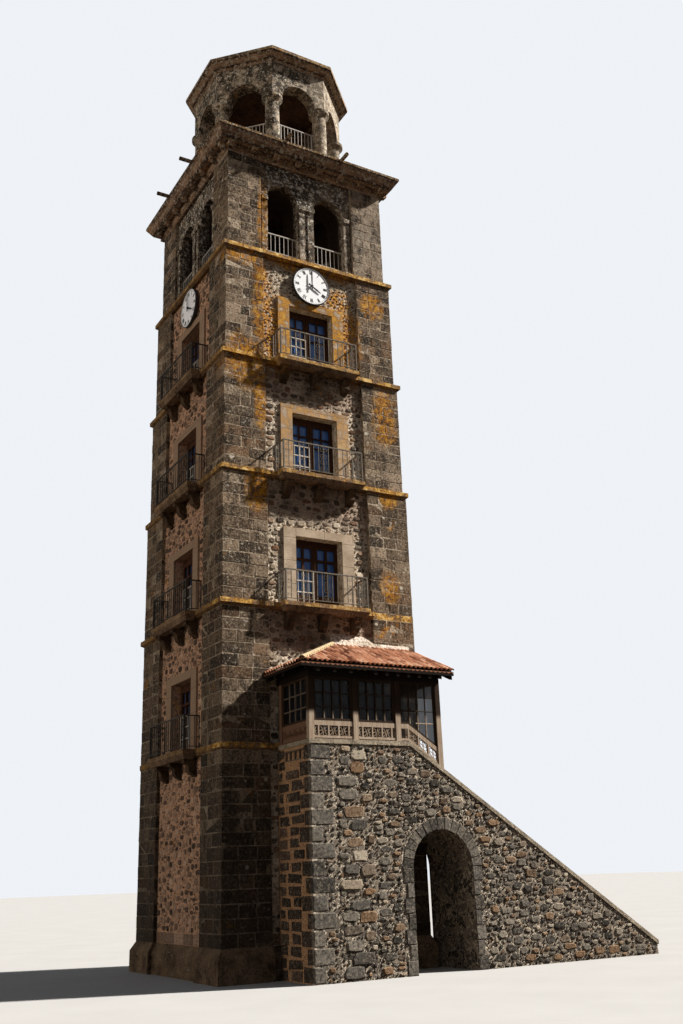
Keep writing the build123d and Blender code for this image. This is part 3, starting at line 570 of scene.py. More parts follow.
def timber_material(name, low, high, stretch=(30.0, 30.0, 1.5), with_eave_light_and_side_tint=False):
    """Wood with its grain along the axis that is stretched least."""
    s = Shader(name, roughness=0.75)
    grain = s.noise(1.0, detail=8, roughness=0.7, distortion=0.6, stretch=stretch)
    middle = [(a + b) / 2 for a, b in zip(low, high)]
    s.base = s.ramp(grain, (0.3, *low), (0.52, *middle), (0.72, *high))
    s.blot(s.noise(2.5, detail=3), 0.7, 0.35, 0.35, scaled(low, 0.4))
    if with_eave_light_and_side_tint:
        eave_light_and_side_tint(s, grain)
    s.bump(grain, 0.004)
    return s.done()


def iron_material(name, low, high):
    s = Shader(name, specular=0.06)
    wear = s.noise(35.0, detail=6, roughness=0.7)
    s.base = s.mix(s.fade(wear, 0.45, 0.6), low, high)
    rust = s.noise(7.0, detail=6, roughness=0.7)
    s.blot(rust, 0.60, 0.7, 1.0, [c * f for c, f in zip(high, (0.9, 0.5, 0.25))])
    # Painted shade: the iron on the left face is darker.
    s.blot("X", -2.6, -2.75, 0.75, (0.02, 0.016, 0.013))
    s.surface("Roughness", s.fade(wear, 0.3, 0.7, 0.55, 0.85))
    s.bump(wear, 0.002)
    return s.done()


def glass_material(name, colour, alpha=1.0, roughness=0.15):
    s = Shader(name, roughness, specular=0.15)
    ripple = s.noise(3.0, detail=2)
    s.base = s.mix(s.fade(ripple, 0.3, 0.7), colour, scaled(colour, 0.6))
    # Away from the front the panes are dark glass, without the painted reflection.
    s.blot(s.most(abs(s.axis("X")), s.axis("Y")), 1.9, 2.1, 0.8, (0.02, 0.03, 0.05))
    s.bsdf.inputs["Alpha"].default_value = alpha
    s.bump(ripple, 0.01)
    return s.done()


def tile_material():
    s = Shader("clay_tiles", roughness=0.85)
    s.base = s.ramp(s.attribute("Red"), (0.0, 0.030, 0.011, 0.007), (0.35, 0.13, 0.045, 0.024),
                    (0.7, 0.46, 0.21, 0.12), (1.0, 0.66, 0.41, 0.27))
    s.blot(s.attribute("Green"), 0.95, 0.97, 0.9, (0.40, 0.32, 0.19))
    s.blot(s.noise(6.0, detail=7, roughness=0.7), 0.52, 0.68, 0.75, (0.07, 0.045, 0.03))
    s.bump(s.noise(60.0, detail=6, roughness=0.7), 0.004)
    return s.done()


def eave_material():
    """Roof boards, near black as painted shade under the tiles, with the round ends of the tiles showing along
    the top of the edge.
    """
    s = Shader("roof_edge")
    grain = s.noise(30.0, detail=8, roughness=0.75)
    half = TILE_PITCH / 2
    hollow = s.fade(s.math("PINGPONG", s.along_faces(), half), 0.0, half, 0.092, 0.058)
    over = s.fade(s.axis("Z") - (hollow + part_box("porch_roof")[0].z), 0.0, 0.008)
    side = s.fade(abs(s.upward()), 0.4, 0.3)
    clay = s.mix(s.fade(grain, 0.4, 0.6), (0.14, 0.048, 0.026), (0.42, 0.19, 0.11))
    s.base = s.mix(over * side, (0.010, 0.0065, 0.0045), clay)
    s.bump(grain, 0.006)
    return s.done()


def dial_middle():
    low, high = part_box("clock_dials")
    return (low.z + high.z) / 2


def dial_material():
    s = Shader("dial_enamel", specular=0.2)
    stain = s.noise(4.0, detail=6, roughness=0.65)
    rise = s.axis("Z") - dial_middle()
    across = s.math("MINIMUM", abs(s.axis("X")), abs(s.axis("Y")))
    away = s.math("SQRT", rise * rise + across * across)
    s.base = s.mix(s.fade(stain, 0.45, 0.75, 0.0, 0.4), (0.84, 0.85, 0.86), (0.64, 0.63, 0.60))
    s.blot(away, 0.592, 0.598, 1.0, (0.035, 0.03, 0.026))
    s.surface("Roughness", s.fade(stain, 0.3, 0.7, 0.28, 0.5))
    return s.done()


def black_material():
    """Worn black paint of the hands and numerals."""
    s = Shader("black_paint", roughness=0.45)
    wear = s.noise(40.0, detail=6, roughness=0.7)
    s.base = s.mix(s.fade(wear, 0.55, 0.7, 0.0, 0.6), (0.012, 0.012, 0.014), (0.06, 0.055, 0.05))
    s.bump(wear, 0.001)
    return s.done()


# Meshes

class Mesh:
    """Collects solids of one piece, each with its own tone, and makes the object."""

    def __init__(self, name, material):
        self.name = name
        self.material = material
        self.points = []
        self.faces = []
        self.tones = []

    def add(self, points, faces, tone=PLAIN):
        start = len(self.points)
        self.points.extend(points)
        self.faces.extend([tuple(start + i for i in face) for face in faces])
        self.tones.extend([(*tone, 1.0)] * len(points))

    def box(self, points, tone=PLAIN):
        self.add(points, CUBOID_FACES, tone)

    def make(self):
        data = bpy.data.meshes.new(self.name)
        data.from_pydata(self.points, [], self.faces)
        layer = data.color_attributes.new("stone", "FLOAT_COLOR", "POINT")
        layer.data.foreach_set("color", [value for tone in self.tones for value in tone])
        data.materials.append(self.material)
        piece = bpy.data.objects.new(self.name, data)
        bpy.context.scene.collection.objects.link(piece)
        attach(piece, BODY)


def turn(points, face):
    """Points drawn on the front face, moved to another face."""
    matrix = Matrix.Rotation(math.radians(FACE_ANGLES[face]), 3, "Z")
    return [tuple(matrix @ Vector(p)) for p in points]


def on_face(face, y, side=-1, z=0.0):
    """What takes (u, v, out) to a point on a face; side is the way that out goes along y."""
    def place(u, v, out):
        return turn([(u, y + side * out, z + v)], face)[0]

    return place


def on_left(x, side=-1):
    """What takes (u, v, out) to a point on the porch's left side."""
    def place(u, v, out):
        return (x + side * out, u, v)

    return place


def cuboid_template():
    """Corners and outward faces of a cuboid with bevelled edges."""
    corners = [(x, y, z) for x in (-1, 1) for y in (-1, 1) for z in (-1, 1)]
    index = {(corner, axis): 3 * i + axis for i, corner in enumerate(corners) for axis in range(3)}
    faces = []
    for axis in range(3):
        for sign in (-1, 1):
            ring = [c for c in corners if c[axis] == sign]
            faces.append([index[(ring[i], axis)] for i in (0, 1, 3, 2)])
    for axis in range(3):
        b, c = [k for k in range(3) if k != axis]
        for corner in corners:
            if corner[axis] == -1:
                other = tuple(1 if k == axis else corner[k] for k in range(3))
                faces.append([index[(corner, b)], index[(other, b)], index[(other, c)], index[(corner, c)]])
    for corner in corners:
        faces.append([index[(corner, axis)] for axis in range(3)])
    spots = [Vector([corner[k] * (1.0 if k == axis else 0.9) for k in range(3)])
             for corner in corners for axis in range(3)]
    outward = []
    for face in faces:
        middle = sum((spots[i] for i in face), Vector()) / len(face)
        normal = (spots[face[1]] - spots[face[0]]).cross(spots[face[2]] - spots[face[1]])
        outward.append(face if normal.dot(middle) > 0 else face[::-1])
    return corners, outward


CUBOID_CORNERS, CUBOID_FACES = cuboid_template()


def cuboid(x, y, z, bevel, wobble=0.0):
    """Points of a bevelled cuboid between two limits on each axis, each moved a little."""
    limits = (x, y, z)
    points = []
    for corner in CUBOID_CORNERS:
        for axis in range(3):
            point = []
            for k in range(3):
                inset = 0.0 if k == axis else bevel * corner[k]
                point.append(limits[k][corner[k] > 0] - inset + rng.uniform(-wobble, wobble))
            points.append(tuple(point))
    return points


def bar(mesh, face, x, y, z, bevel=0.004, tone=PLAIN):
    """A bevelled bar between two limits on each axis, drawn on the front face."""
    mesh.box(turn(cuboid(x, y, z, bevel), face), tone)


def stone_tone(spread=1.0):
    return (min(1.0, max(0.0, rng.gauss(0.45, 0.22 * spread))), rng.random(), rng.random())


def cut_tone():
    """Tone of a dressed block."""
    return (rng.uniform(0.1, 0.6), rng.uniform(0, 0.6), 0.5)


def strip_faces(n, rows):
    """Faces of a closed strip whose four rows of n points follow one another round it."""
    faces = []
    for i in range(n - 1):
        for a, b in zip(rows, rows[1:] + rows[:1]):
            faces.append((a * n + i, a * n + i + 1, b * n + i + 1, b * n + i))
    faces.append(tuple(row * n for row in rows))
    faces.append(tuple(row * n + n - 1 for row in rows[:1] + rows[:0:-1]))
    return faces


def ribbon(mesh, path, width, depth, place):
    """A flat strip along a path of (u, v) points; place maps (u, v, out) to a point."""
    left, right = [], []
    for i, (u, v) in enumerate(path):
        a = path[max(i - 1, 0)]
        b = path[min(i + 1, len(path) - 1)]
        du, dv = b[0] - a[0], b[1] - a[1]
        length = math.hypot(du, dv)
        nu, nv = -dv / length * width / 2, du / length * width / 2
        left.append((u + nu, v + nv))
        right.append((u - nu, v - nv))
    points = [place(u, v, out) for out in (0.0, depth) for u, v in left + right]
    mesh.add(points, strip_faces(len(path), (0, 1, 3, 2)))


def spiral(u, v, size, turns, start, flip, steps=12):
    """Points of a spiral that winds in round a centre."""
    points = []
    for k in range(steps + 1):
        t = k / steps
        angle = start + flip * turns * 2 * math.pi * t
        radius = size * (1 - 0.75 * t)
        points.append((u + radius * math.cos(angle), v + radius * math.sin(angle)))
    return points


# Coursed blocks of the corner piers

def pier_blocks(mesh, sx, sy, half, z0, z1):
    """Coursed blocks over one corner pier, bonded at the corner."""
    width = half - CORE
    gap = JOINT / 2
    count = max(1, round((z1 - z0) / COURSE))
    height = (z1 - z0) / count

    def outer():
        return half + (PROUD + rng.uniform(-0.003, 0.004))

    def block(x, y, z):
        x, y = sorted(sx * value for value in x), sorted(sy * value for value in y)
        mesh.box(cuboid(x, y, z, 0.012, 0.005), stone_tone(1.2))

    for k in range(count):
        z = (z0 + k * height + gap, z0 + (k + 1) * height - gap)
        long = width * rng.uniform(0.56, 0.72)
        short = width * rng.uniform(0.30, 0.44)
        along_x, along_y = (long, short) if k % 2 else (short, long)
        out = outer()
        block((out, half - along_x + gap), (out, half - along_y + gap), z)
        for start, flat in ((along_x, "x"), (along_y, "y")):
            cuts = [start, width]
            if width - start > 0.66:
                cuts.insert(1, start + (width - start) * rng.uniform(0.4, 0.6))
            for a, b in zip(cuts, cuts[1:]):
                face = (half - 0.14, outer())
                run = (half - b + (0 if b == width else gap), half - a - gap)
                block(*((run, face) if flat == "x" else (face, run)), z)


def storey_spans(names):
    """Name, bottom, top and panel plane of each storey."""
    boxes = [(name, *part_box(wall_node(name))) for name in names]
    return [(name, low.z, high.z, panel_plane(name)) for name, low, high in boxes]


def make_piers(material):
    corners = {"front_left": (-1, -1), "front_right": (1, -1), "back_right": (1, 1), "back_left": (-1, 1)}
    for corner, (sx, sy) in corners.items():
        mesh = Mesh(f"pier_blocks_{corner}", material)
        for _, z0, z1, plane in storey_spans(SHAFT_STOREYS + ["belfry"]):
            pier_blocks(mesh, sx, sy, plane + PANEL_RECESS, z0, z1)
        mesh.make()


# Rubble

def scatter(regions, sizes, gap, allowed=None):
    """Stones of falling size laid in rectangles without touching: (u, v, half width, half height)."""
    placed = []
    grid = {}
    for least_wide, most_wide, least_high, most_high, density in sizes:
        for u0, u1, v0, v1 in regions:
            tries = round(3 * density * (u1 - u0) * (v1 - v0))
            for _ in range(tries):
                wide = rng.uniform(least_wide, most_wide)
                high = rng.uniform(least_high, most_high)
                if u1 - u0 < 2 * wide or v1 - v0 < 2 * high:
                    continue
                u = rng.uniform(u0 + wide, u1 - wide)
                v = rng.uniform(v0 + high, v1 - high)
                stone = (u, v, wide, high)
                if allowed and not allowed(stone):
                    continue
                if not touches(stone, grid, gap):
                    placed.append(stone)
                    grid.setdefault((int(u // CELL), int(v // CELL)), []).append(stone)
    return placed


def touches(stone, grid, gap):
    """Whether a stone comes too near one already laid."""
    u, v, wide, high = stone
    i, j = int(u // CELL), int(v // CELL)
    reach = 2 if wide > 0.15 else 1
    for a in range(i - reach, i + reach + 1):
        for b in range(j - reach, j + reach + 1):
            for ou, ov, owide, ohigh in grid.get((a, b), ()):
                across = abs(u - ou) / (wide + owide + gap)
                up = abs(v - ov) / (high + ohigh + gap)
                if across ** 3 + up ** 3 < 1.0:
                    return True
    return False


def outline(stone):
    """Rough rounded outline of a stone."""
    u, v, wide, high = stone
    sides = 12 if wide > 0.18 else 9 if wide > 0.075 else 6
    start = rng.uniform(0, math.tau)
    lean = rng.uniform(-0.2, 0.2)
    blocky = rng.uniform(2.6, 6.0) + (5.0 if wide > 0.18 else 0.0)
    points = []
    for k in range(sides):
        angle = start + math.tau * k / sides + rng.uniform(-0.2, 0.2)
        cos, sin = math.cos(angle), math.sin(angle)
        reach = rng.uniform(0.84, 1.0) / (abs(cos) ** blocky + abs(sin) ** blocky) ** (1 / blocky)
        points.append((u + wide * reach * cos + lean * high * sin, v + high * reach * sin))
    return points


def add_pillow(mesh, polygon, place, proud, tone, sunk=0.02, crown=0.6):
    """A stone that stands out of the wall; place maps (u, v, out) to a point."""
    n = len(polygon)
    cu = sum(p[0] for p in polygon) / n
    cv = sum(p[1] for p in polygon) / n
    size = min(math.hypot(p[0] - cu, p[1] - cv) for p in polygon)
    inset = min(0.35, 0.016 / size)
    tilt_u, tilt_v = rng.uniform(-0.08, 0.08), rng.uniform(-0.08, 0.08)
    rings = [[place(u, v, -sunk) for u, v in polygon]]
    if n > 7 or n == 4:
        rings.append([place(u, v, proud * crown) for u, v in polygon])
    top = []
    for u, v in polygon:
        pu, pv = u + (cu - u) * inset, v + (cv - v) * inset
        top.append(place(pu, pv, proud + tilt_u * (pu - cu) + tilt_v * (pv - cv)))
    rings.append(top)
    last = (len(rings) - 1) * n
    faces = [(a + i, a + (i + 1) % n, a + n + (i + 1) % n, a + n + i)
             for a in range(0, last, n) for i in range(n)]
    faces += [tuple(range(last, last + n)), tuple(range(n - 1, -1, -1))]
    mesh.add([point for ring in rings for point in ring], faces, tone)


def panel_regions(name, face, z0, z1):
    """Rectangles of a panel that are filled with rubble, beside and over the doorway."""
    if name == "ground":
        return [(-CORE, CORE, z0 + 0.28, z1)]
    half, top = DOOR_HALF, DOOR_HEIGHT
    if (face, name) != DOORS[0]:
        half, top = half + SURROUND, top + LINTEL
    return [(-CORE, -half, z0, z0 + top), (half, CORE, z0, z0 + top), (-CORE, CORE, z0 + top, z1)]


def rubble_tone():
    """Mixed dark, middling and pale stones."""
    kind = rng.random()
    limits = (0.0, 0.35) if kind < 0.4 else (0.35, 0.7) if kind < 0.75 else (0.7, 1.0)
    return (rng.uniform(*limits), rng.random(), rng.random())


def foot_stones(mesh, face, plane, z0, count=5):
    """A row of long stones at the foot of the ground storey's panel."""
    wide = 2 * CORE / count
    for k in range(count):
        u = -CORE + 2 * CORE * k / count
        bar(mesh, face, (u + 0.007, u + wide - 0.007), (-plane - 0.012, -plane + 0.1),
            (z0 + 0.01, z0 + 0.27), 0.01, stone_tone(0.6))


def make_rubble(material):
    """Small stones in the panels between the piers."""
    for face in FACE_ANGLES:
        mesh = Mesh(f"rubble_{face}", material)
        for name, z0, z1, plane in storey_spans(SHAFT_STOREYS):
            place = on_face(face, -plane)
            sizes = LEFT_STONES if face != "front" else PANEL_STONES[1:] if name == "fourth" else PANEL_STONES
            for stone in scatter(panel_regions(name, face, z0, z1), sizes, 0.012):
                add_pillow(mesh, outline(stone), place, rng.uniform(0.010, 0.020) + 0.1 * stone[3],
                           rubble_tone())
            if name == "ground":
                foot_stones(mesh, face, plane, z0)
        mesh.make()


# Balcony doors

def door_lattice(mesh, face, y, z0):
    """A lattice low on the left leaf, in pale wood that is painted sunlight on its bars."""
    x0, x1 = -DOOR_HALF + 0.03, -0.045
    height = (z0 + LATTICE_RAILS[0], z0 + LATTICE_RAILS[-1])
    for z in LATTICE_RAILS:
        bar(mesh, face, (x0, x1), (y - 0.026, y), about(z0 + z, 0.016))
    for n in range(3):
        bar(mesh, face, about(x0 + 0.015 + (x1 - x0 - 0.03) * n / 2, 0.015), (y - 0.022, y), height)
    for n in range(2):
        bar(mesh, face, about(x0 + (x1 - x0) * (0.25 + 0.5 * n), 0.007), (y - 0.018, y), height)


def make_door_bars(wood, pale):
    """Glazing bars, rails and lattice of the doors; the lattice's pale wood is painted sunlight."""
    dark = Mesh("door_upper_bars", wood)
    light = Mesh("door_lattice", pale)
    for face, name in DOORS:
        z0 = storey_floor(name)
        y = -panel_plane(name) + DOOR_SET_BACK
        high = z0 + DOOR_HEIGHT - DOOR_STILE
        thin = 0.018 if name in ("third", "fourth") else 0.032
        for left in (-DOOR_HALF, 0.0):
            x = (left + DOOR_STILE, left + DOOR_HALF - DOOR_STILE)
            bar(dark, face, about(sum(x) / 2, thin), (y - 0.004, y + 0.05), (z0 + DOOR_PANEL, high))
            bar(dark, face, x, (y - 0.006, y + 0.05), (high - 0.12, high))
            for z in DOOR_RAILS:
                bar(dark, face, x, (y - 0.003, y + 0.05), about(z0 + z, thin))
        bar(dark, face, about(0.0, 0.035), (y - 0.02, y), (z0 + 0.01, high + 0.06))
        door_lattice(light, face, y, z0)
    dark.make()
    light.make()


# Iron scrolls of the balcony railings

def scroll_column(mesh, x, z, place, size):
    """Paired scrolls one over another, round an upright."""
    for k in range(4):
        side = 1 if k % 2 else -1
        for flip in (-1, 1):
            path = spiral(x + flip * size * 0.55, z + 0.16 + 0.19 * k, size, 1.1, side * math.pi / 2,
                          -side * flip)
            ribbon(mesh, path, 0.009, 0.008, place)


def make_scrolls(material):
    """Scroll columns between the bars of the balcony fronts."""
    mesh = Mesh("balcony_scrolls", material)
    for face, name in BALCONIES:
        below = SHAFT_STOREYS[SHAFT_STOREYS.index(name) - 1]
        y = -(panel_plane(below) + PANEL_RECESS + BALCONY_REACH) + RAIL_INSET
        place = on_face(face, y - 0.004, 1)
        for x, size in SCROLL_COLUMNS:
            scroll_column(mesh, x, storey_floor(name) + 0.02, place, size)
    mesh.make()


# Clock numerals

NUMERALS = ["XII", "I", "II", "III", "IIII", "V", "VI", "VII", "VIII", "IX", "X", "XI"]
LETTER_WIDTHS = {"I": 0.028, "V": 0.058, "X": 0.062}
LETTER_STROKES = {
    "I": [(0.0, 0.0, 0.013)],
    "V": [(-0.013, -0.22, 0.013), (0.013, 0.22, 0.007)],
    "X": [(0.0, -0.42, 0.013), (0.0, 0.42, 0.007)],
}
STROKE_FACES = [(3, 2, 1, 0), (4, 5, 6, 7), (0, 1, 5, 4), (1, 2, 6, 5), (2, 3, 7, 6), (3, 0, 4, 7)]


def dial_stroke(mesh, face, y, radius, angle, u, wide, high, lean=0):
    """A bar on a dial; u runs across the numeral and radius out from the dial's centre."""
    z = dial_middle()
    points = []
    for depth in (0.0, -0.006):
        for a, b in ((-wide, -high), (wide, -high), (wide, high), (-wide, high)):
            a, b = a / 2, b / 2
            across = u + a + lean * b
            out = radius + b
            points.append((across * math.cos(angle) + out * math.sin(angle), y + depth,
                           z - across * math.sin(angle) + out * math.cos(angle)))
    mesh.add(turn(points, face), STROKE_FACES)


def make_numerals(material):
    """Hour numerals, minute marks and the thin dark rim of both dials."""
    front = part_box("clock_dials")[0].y
    y = front + 0.015
    mesh = Mesh("clock_numerals", material)
    minutes = [math.radians(6 * k) for k in range(61)]
    rim = [(RIM_RADIUS * math.cos(angle), RIM_RADIUS * math.sin(angle)) for angle in minutes]
    for face in ("front", "left"):
        for hour, text in enumerate(NUMERALS):
            u = -sum(LETTER_WIDTHS[c] for c in text) / 2
            for letter in text:
                middle = u + LETTER_WIDTHS[letter] / 2
                for shift, lean, wide in LETTER_STROKES[letter]:
                    dial_stroke(mesh, face, y, NUMERAL_RADIUS, math.radians(30 * hour), middle + shift, wide,
                                0.12, lean)
                u += LETTER_WIDTHS[letter]
        for k, angle in enumerate(minutes[:60]):
            dial_stroke(mesh, face, y, MINUTE_RADIUS, angle, 0, 0.006 if k % 5 else 0.012, 0.02)
        ribbon(mesh, rim, 0.021, 0.009, on_face(face, front + 0.004, -1, dial_middle()))
    mesh.make()


# Porch roof tiles

def barrel_tile(mesh, origin, along, across, up, length, radius, convex, tone):
    """A tapered half-round tile; along points down the slope."""
    points = []
    for run, scale, lift in ((0.0, 0.82, 0.014), (length, 1.0, 0.0)):
        for skin in (0.0, TILE_THICKNESS):
            for k in range(TILE_SIDES + 1):
                angle = math.pi * k / TILE_SIDES
                r = radius * scale - skin
                rise = math.sin(angle) * r + lift if convex else radius * 0.9 - math.sin(angle) * r
                points.append(tuple(origin + along * run + across * (math.cos(angle) * r) + up * rise))
    mesh.add(points, strip_faces(TILE_SIDES + 1, (0, 2, 3, 1)), tone)


def tile_slope(mesh, start, end, along, across, up, length_at):
    """Columns of tiles across a slope; length_at gives how far a column runs."""
    count = max(1, round((end - start).length / TILE_PITCH))
    for c in range(count):
        foot = start + (end - start) * ((c + 0.5) / count)
        run = length_at(foot)
        rows = max(1, math.ceil(run / TILE_STEP))
        # The channel tiles take a dark tone, painted shade between the rows of round tiles; the round tiles a
        # pale one.
        for convex, shift, lift, radius, tone in ((False, 0.0, 0.018, 0.050, 0.12),
                                                  (True, TILE_PITCH / 2, 0.034, 0.053, 0.68)):
            for r in range(rows):
                reach = min(TILE_STEP * 1.22, run - r * TILE_STEP)
                if reach < 0.08:
                    continue
                origin = (foot + across * shift - along * (EAVE_OVERHANG + r * TILE_STEP + reach)
                          + up * (lift + 0.006 * rng.random()))
                red = min(1, max(0, rng.gauss(tone, 0.16)))
                barrel_tile(mesh, origin, along, across, up, reach, radius, convex,
                            (red, 0.9 * rng.random(), 0.5))


def make_tiles(material):
    low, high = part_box("porch_roof")
    mesh = Mesh("porch_tiles", material)
    cos, sin, tan = math.cos(PORCH_PITCH), math.sin(PORCH_PITCH), math.tan(PORCH_PITCH)
    eave = low.z + 0.09 / cos
    run = -low.y - panel_plane("first") - PANEL_RECESS
    corner = Vector((low.x, low.y, eave))
    tile_slope(mesh, corner, Vector((high.x, low.y, eave)), Vector((0, -cos, -sin)), Vector((1, 0, 0)),
               Vector((0, -sin, cos)), lambda foot: min(run, foot.x - low.x + 0.05) / cos)
    tile_slope(mesh, corner, Vector((low.x, low.y + run, eave)), Vector((-cos, 0, -sin)),
               Vector((0, 1, 0)), Vector((-sin, 0, cos)), lambda foot: (foot.y - low.y + 0.05) / cos)
    hip_tiles(mesh, corner, Vector((run, run, run * tan)))
    mesh.make()


def hip_tiles(mesh, corner, hip):
    """Large tiles up the hip, dark and pale by turns."""
    direction = hip.normalized()
    side = Vector((1, -1, 0)).normalized()
    above = side.cross(direction)
    if above.z < 0:
        above = -above
    count = round(hip.length / 0.13)
    for k in range(1, count):
        origin = corner + direction * (hip.length * (k + 1) / count + 0.035) + above * 0.05
        barrel_tile(mesh, origin, -direction, side, above, hip.length / count * 1.3, 0.085, True,
                    (0.3 + 0.6 * (k % 2), 1.0, 0.5))


# Porch masonry

def clear_of_arch(stone):
    """Whether a stone lies outside the arch and its ring of wedge stones, and under the coping."""
    u, v, wide, high = stone
    if v + high > COPING_TOP - COPING_HEIGHT - fall(u + wide) - 0.02:
        return False
    for a in (u - wide, u, u + wide):
        for b in (v - high, v, v + high):
            if math.hypot(a - VAULT_X, max(0.0, b - VAULT_Z)) < VAULT_RADIUS + 0.30:
                return False
    return True


def arch_stones(mesh, place, wedges=15, rows=7, gap=0.008, proud=0.018):
    """Wedge stones round the passage's arch, and dressed blocks down its jambs."""
    r0, r1 = VAULT_RADIUS + 0.006, VAULT_RADIUS + 0.29
    for k in range(wedges):
        a0 = math.pi * k / wedges + gap
        a1 = math.pi * (k + 1) / wedges - gap
        polygon = [(VAULT_X + r * math.cos(a), VAULT_Z + r * math.sin(a))
                   for r, a in ((r0, a0), (r1, a0), (r1, a1), (r0, a1))]
        add_pillow(mesh, polygon, place, proud, cut_tone())
    for side in (-1, 1):
        for k in range(rows):
            z0, z1 = VAULT_Z * k / rows + gap, VAULT_Z * (k + 1) / rows - gap
            outer = r1 - (0.09 if k % 2 else 0.0)
            u0, u1 = sorted((VAULT_X + side * r0, VAULT_X + side * outer))
            add_pillow(mesh, [(u0, z0), (u1, z0), (u1, z1), (u0, z1)], place, proud, cut_tone())


def dark_course(mesh, start, end, z0, z1, place):
    """Blocky stones in a row, with wide mortar round them."""
    while start < end - 0.10:
        wide = min(rng.uniform(0.38, 0.72), end - start)
        low, high = z0 + rng.uniform(0.01, 0.045), z1 - rng.uniform(0.01, 0.05)
        corners = [(start, high), (start + wide, high), (start + wide, low), (start, low)]
        polygon = [(u + rng.uniform(-0.035, 0.035), v + rng.uniform(-0.022, 0.022)) for u, v in corners]
        add_pillow(mesh, polygon, place, rng.uniform(0.015, 0.03), stone_tone())
        start += wide + rng.uniform(0.14, 0.24)


def side_stones(mesh, low, high, corners):
    """Rows of dark stones on the porch's left wall, beside the corner blocks and under the vent."""
    rows = round(high.z / 0.265)
    for k in range(rows):
        z0, z1 = high.z * k / rows, high.z * (k + 1) / rows
        reach = max(b for foot, head, b in corners if foot < z1 and head > z0)
        start = low.y + (1.36 if z1 > high.z - 0.45 else reach + 0.035)
        dark_course(mesh, start, high.y - 0.12, z0, z1, on_left(low.x))


def corner_blocks(mesh, low, top, place):
    """Blocks up the porch's corner with small stones beside them: foot, head and reach of each."""
    count = round(top / 0.37)
    corners = []
    for k in range(count):
        z0, z1 = top * k / count, top * (k + 1) / count
        long, short = rng.uniform(0.5, 0.62), rng.uniform(0.28, 0.40)
        a, b = (long, short) if k % 2 else (short, long)
        mesh.box(cuboid((low.x - 0.012, low.x + a), (low.y - 0.014, low.y + b), (z0 + 0.012, z1 - 0.012),
                        0.024, 0.010), cut_tone())
        for stone in scatter([(low.x + a + 0.02, low.x + 0.66, z0, z1)], PORCH_BLOCKS[2:], 0.012):
            add_pillow(mesh, outline(stone), place, rng.uniform(0.012, 0.03), stone_tone(1.3))
        corners.append((z0, z1, b))
    return corners


def make_porch_stones(material):
    """Corner blocks up the porch's base, rubble between them, and the arch's stones."""
    low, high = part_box("porch_base")
    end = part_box("stair_walls")[1].x
    mesh = Mesh("porch_stones", material)
    place = on_face("front", low.y)
    side_stones(mesh, low, high, corner_blocks(mesh, low, high.z, place))
    for left, right, sizes in ((low.x + 0.67, PORCH_BREAK, PORCH_BLOCKS), (PORCH_BREAK, end, PORCH_RUBBLE)):
        for stone in scatter([(left, right, 0.02, high.z - 0.02)], sizes, 0.011, clear_of_arch):
            add_pillow(mesh, outline(stone), place, rng.uniform(0.012, 0.035), stone_tone(1.3))
    arch_stones(mesh, place)
    mesh.make()


# Porch joinery

def fret_square(mesh, u0, u1, v0, v1, place):
    """A ring with curling diagonals in a square of the balustrade."""
    cu, cv = (u0 + u1) / 2, (v0 + v1) / 2
    half_u, half_v = (u1 - u0) / 2, (v1 - v0) / 2
    circle = [(cu + half_u * 0.86 * math.cos(a), cv + half_v * 0.86 * math.sin(a))
              for a in [math.tau * k / 16 for k in range(17)]]
    ribbon(mesh, circle, 0.013, 0.020, place)
    for k in range(4):
        path = []
        for n in range(8):
            t = n / 7
            bend = math.pi / 4 + k * math.pi / 2 + 0.9 * math.sin(math.pi * t)
            path.append((cu + math.cos(bend) * half_u * 1.30 * t, cv + math.sin(bend) * half_v * 1.30 * t))
        ribbon(mesh, path, 0.016, 0.018, place)


def make_fretwork(material):
    """Carved squares of the front balustrade and the carved board of the left side."""
    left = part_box("porch_balustrades")[0].x
    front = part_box("porch_base")[0].y
    mesh = Mesh("porch_fretwork", material)
    bottom, top = COPING_TOP + FRET_FOOT, COPING_TOP + FRET_TOP
    level = on_face("front", front + 0.035, 1)

    def place(u, v, out):
        return level(u, v - fall(u), out)

    for k in range(3):
        x0, x1 = POSTS[k] + POST_HALF, POSTS[k + 1] - POST_HALF
        first, count = (x0, 4) if k < 2 else (STAIR_START, 3)
        square = (x1 - first) / count
        for n in range(count):
            start = first + square * n
            fret_square(mesh, start + 0.012, start + square - 0.012, bottom, top, place)
    y0, y1 = front + 2 * POST_HALF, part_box("porch_posts")[1].y - 2 * POST_HALF
    for k in range(5):
        middle = y0 + (y1 - y0) * (k + 0.5) / 5
        for flip in (-1, 1):
            path = spiral(middle + flip * 0.06, (bottom + top) / 2, 0.085, 1.2, math.pi / 2, flip, 14)
            ribbon(mesh, path, 0.018, 0.020, on_left(left - 0.012, 1))
    mesh.make()


def window_lattice(mesh, x0, x1, top, place):
    """Slanting bars over the stair's bay."""
    for n in range(-5, 19):
        base = x0 + n * 0.07
        for a, b, depth in ((base + 0.38, base, 0.02), (base, base + 0.38, 0.012)):
            inside = clip_segment((a, 6.575), (b, top), x0, x1)
            if inside:
                ribbon(mesh, inside, 0.012, depth, place)


def clip_segment(start, end, x0, x1):
    """The part of a straight path between two x limits."""
    (ax, az), (bx, bz) = start, end
    low, high = 0.0, 1.0
    for limit, sign in ((x0, 1), (x1, -1)):
        da, db = sign * (ax - limit), sign * (bx - limit)
        if da < 0 and db < 0:
            return []
        if da < 0:
            low = max(low, da / (da - db))
        elif db < 0:
            high = min(high, da / (da - db))
    if high - low < 0.05:
        return []
    return [(ax + (bx - ax) * t, az + (bz - az) * t) for t in (low, high)]


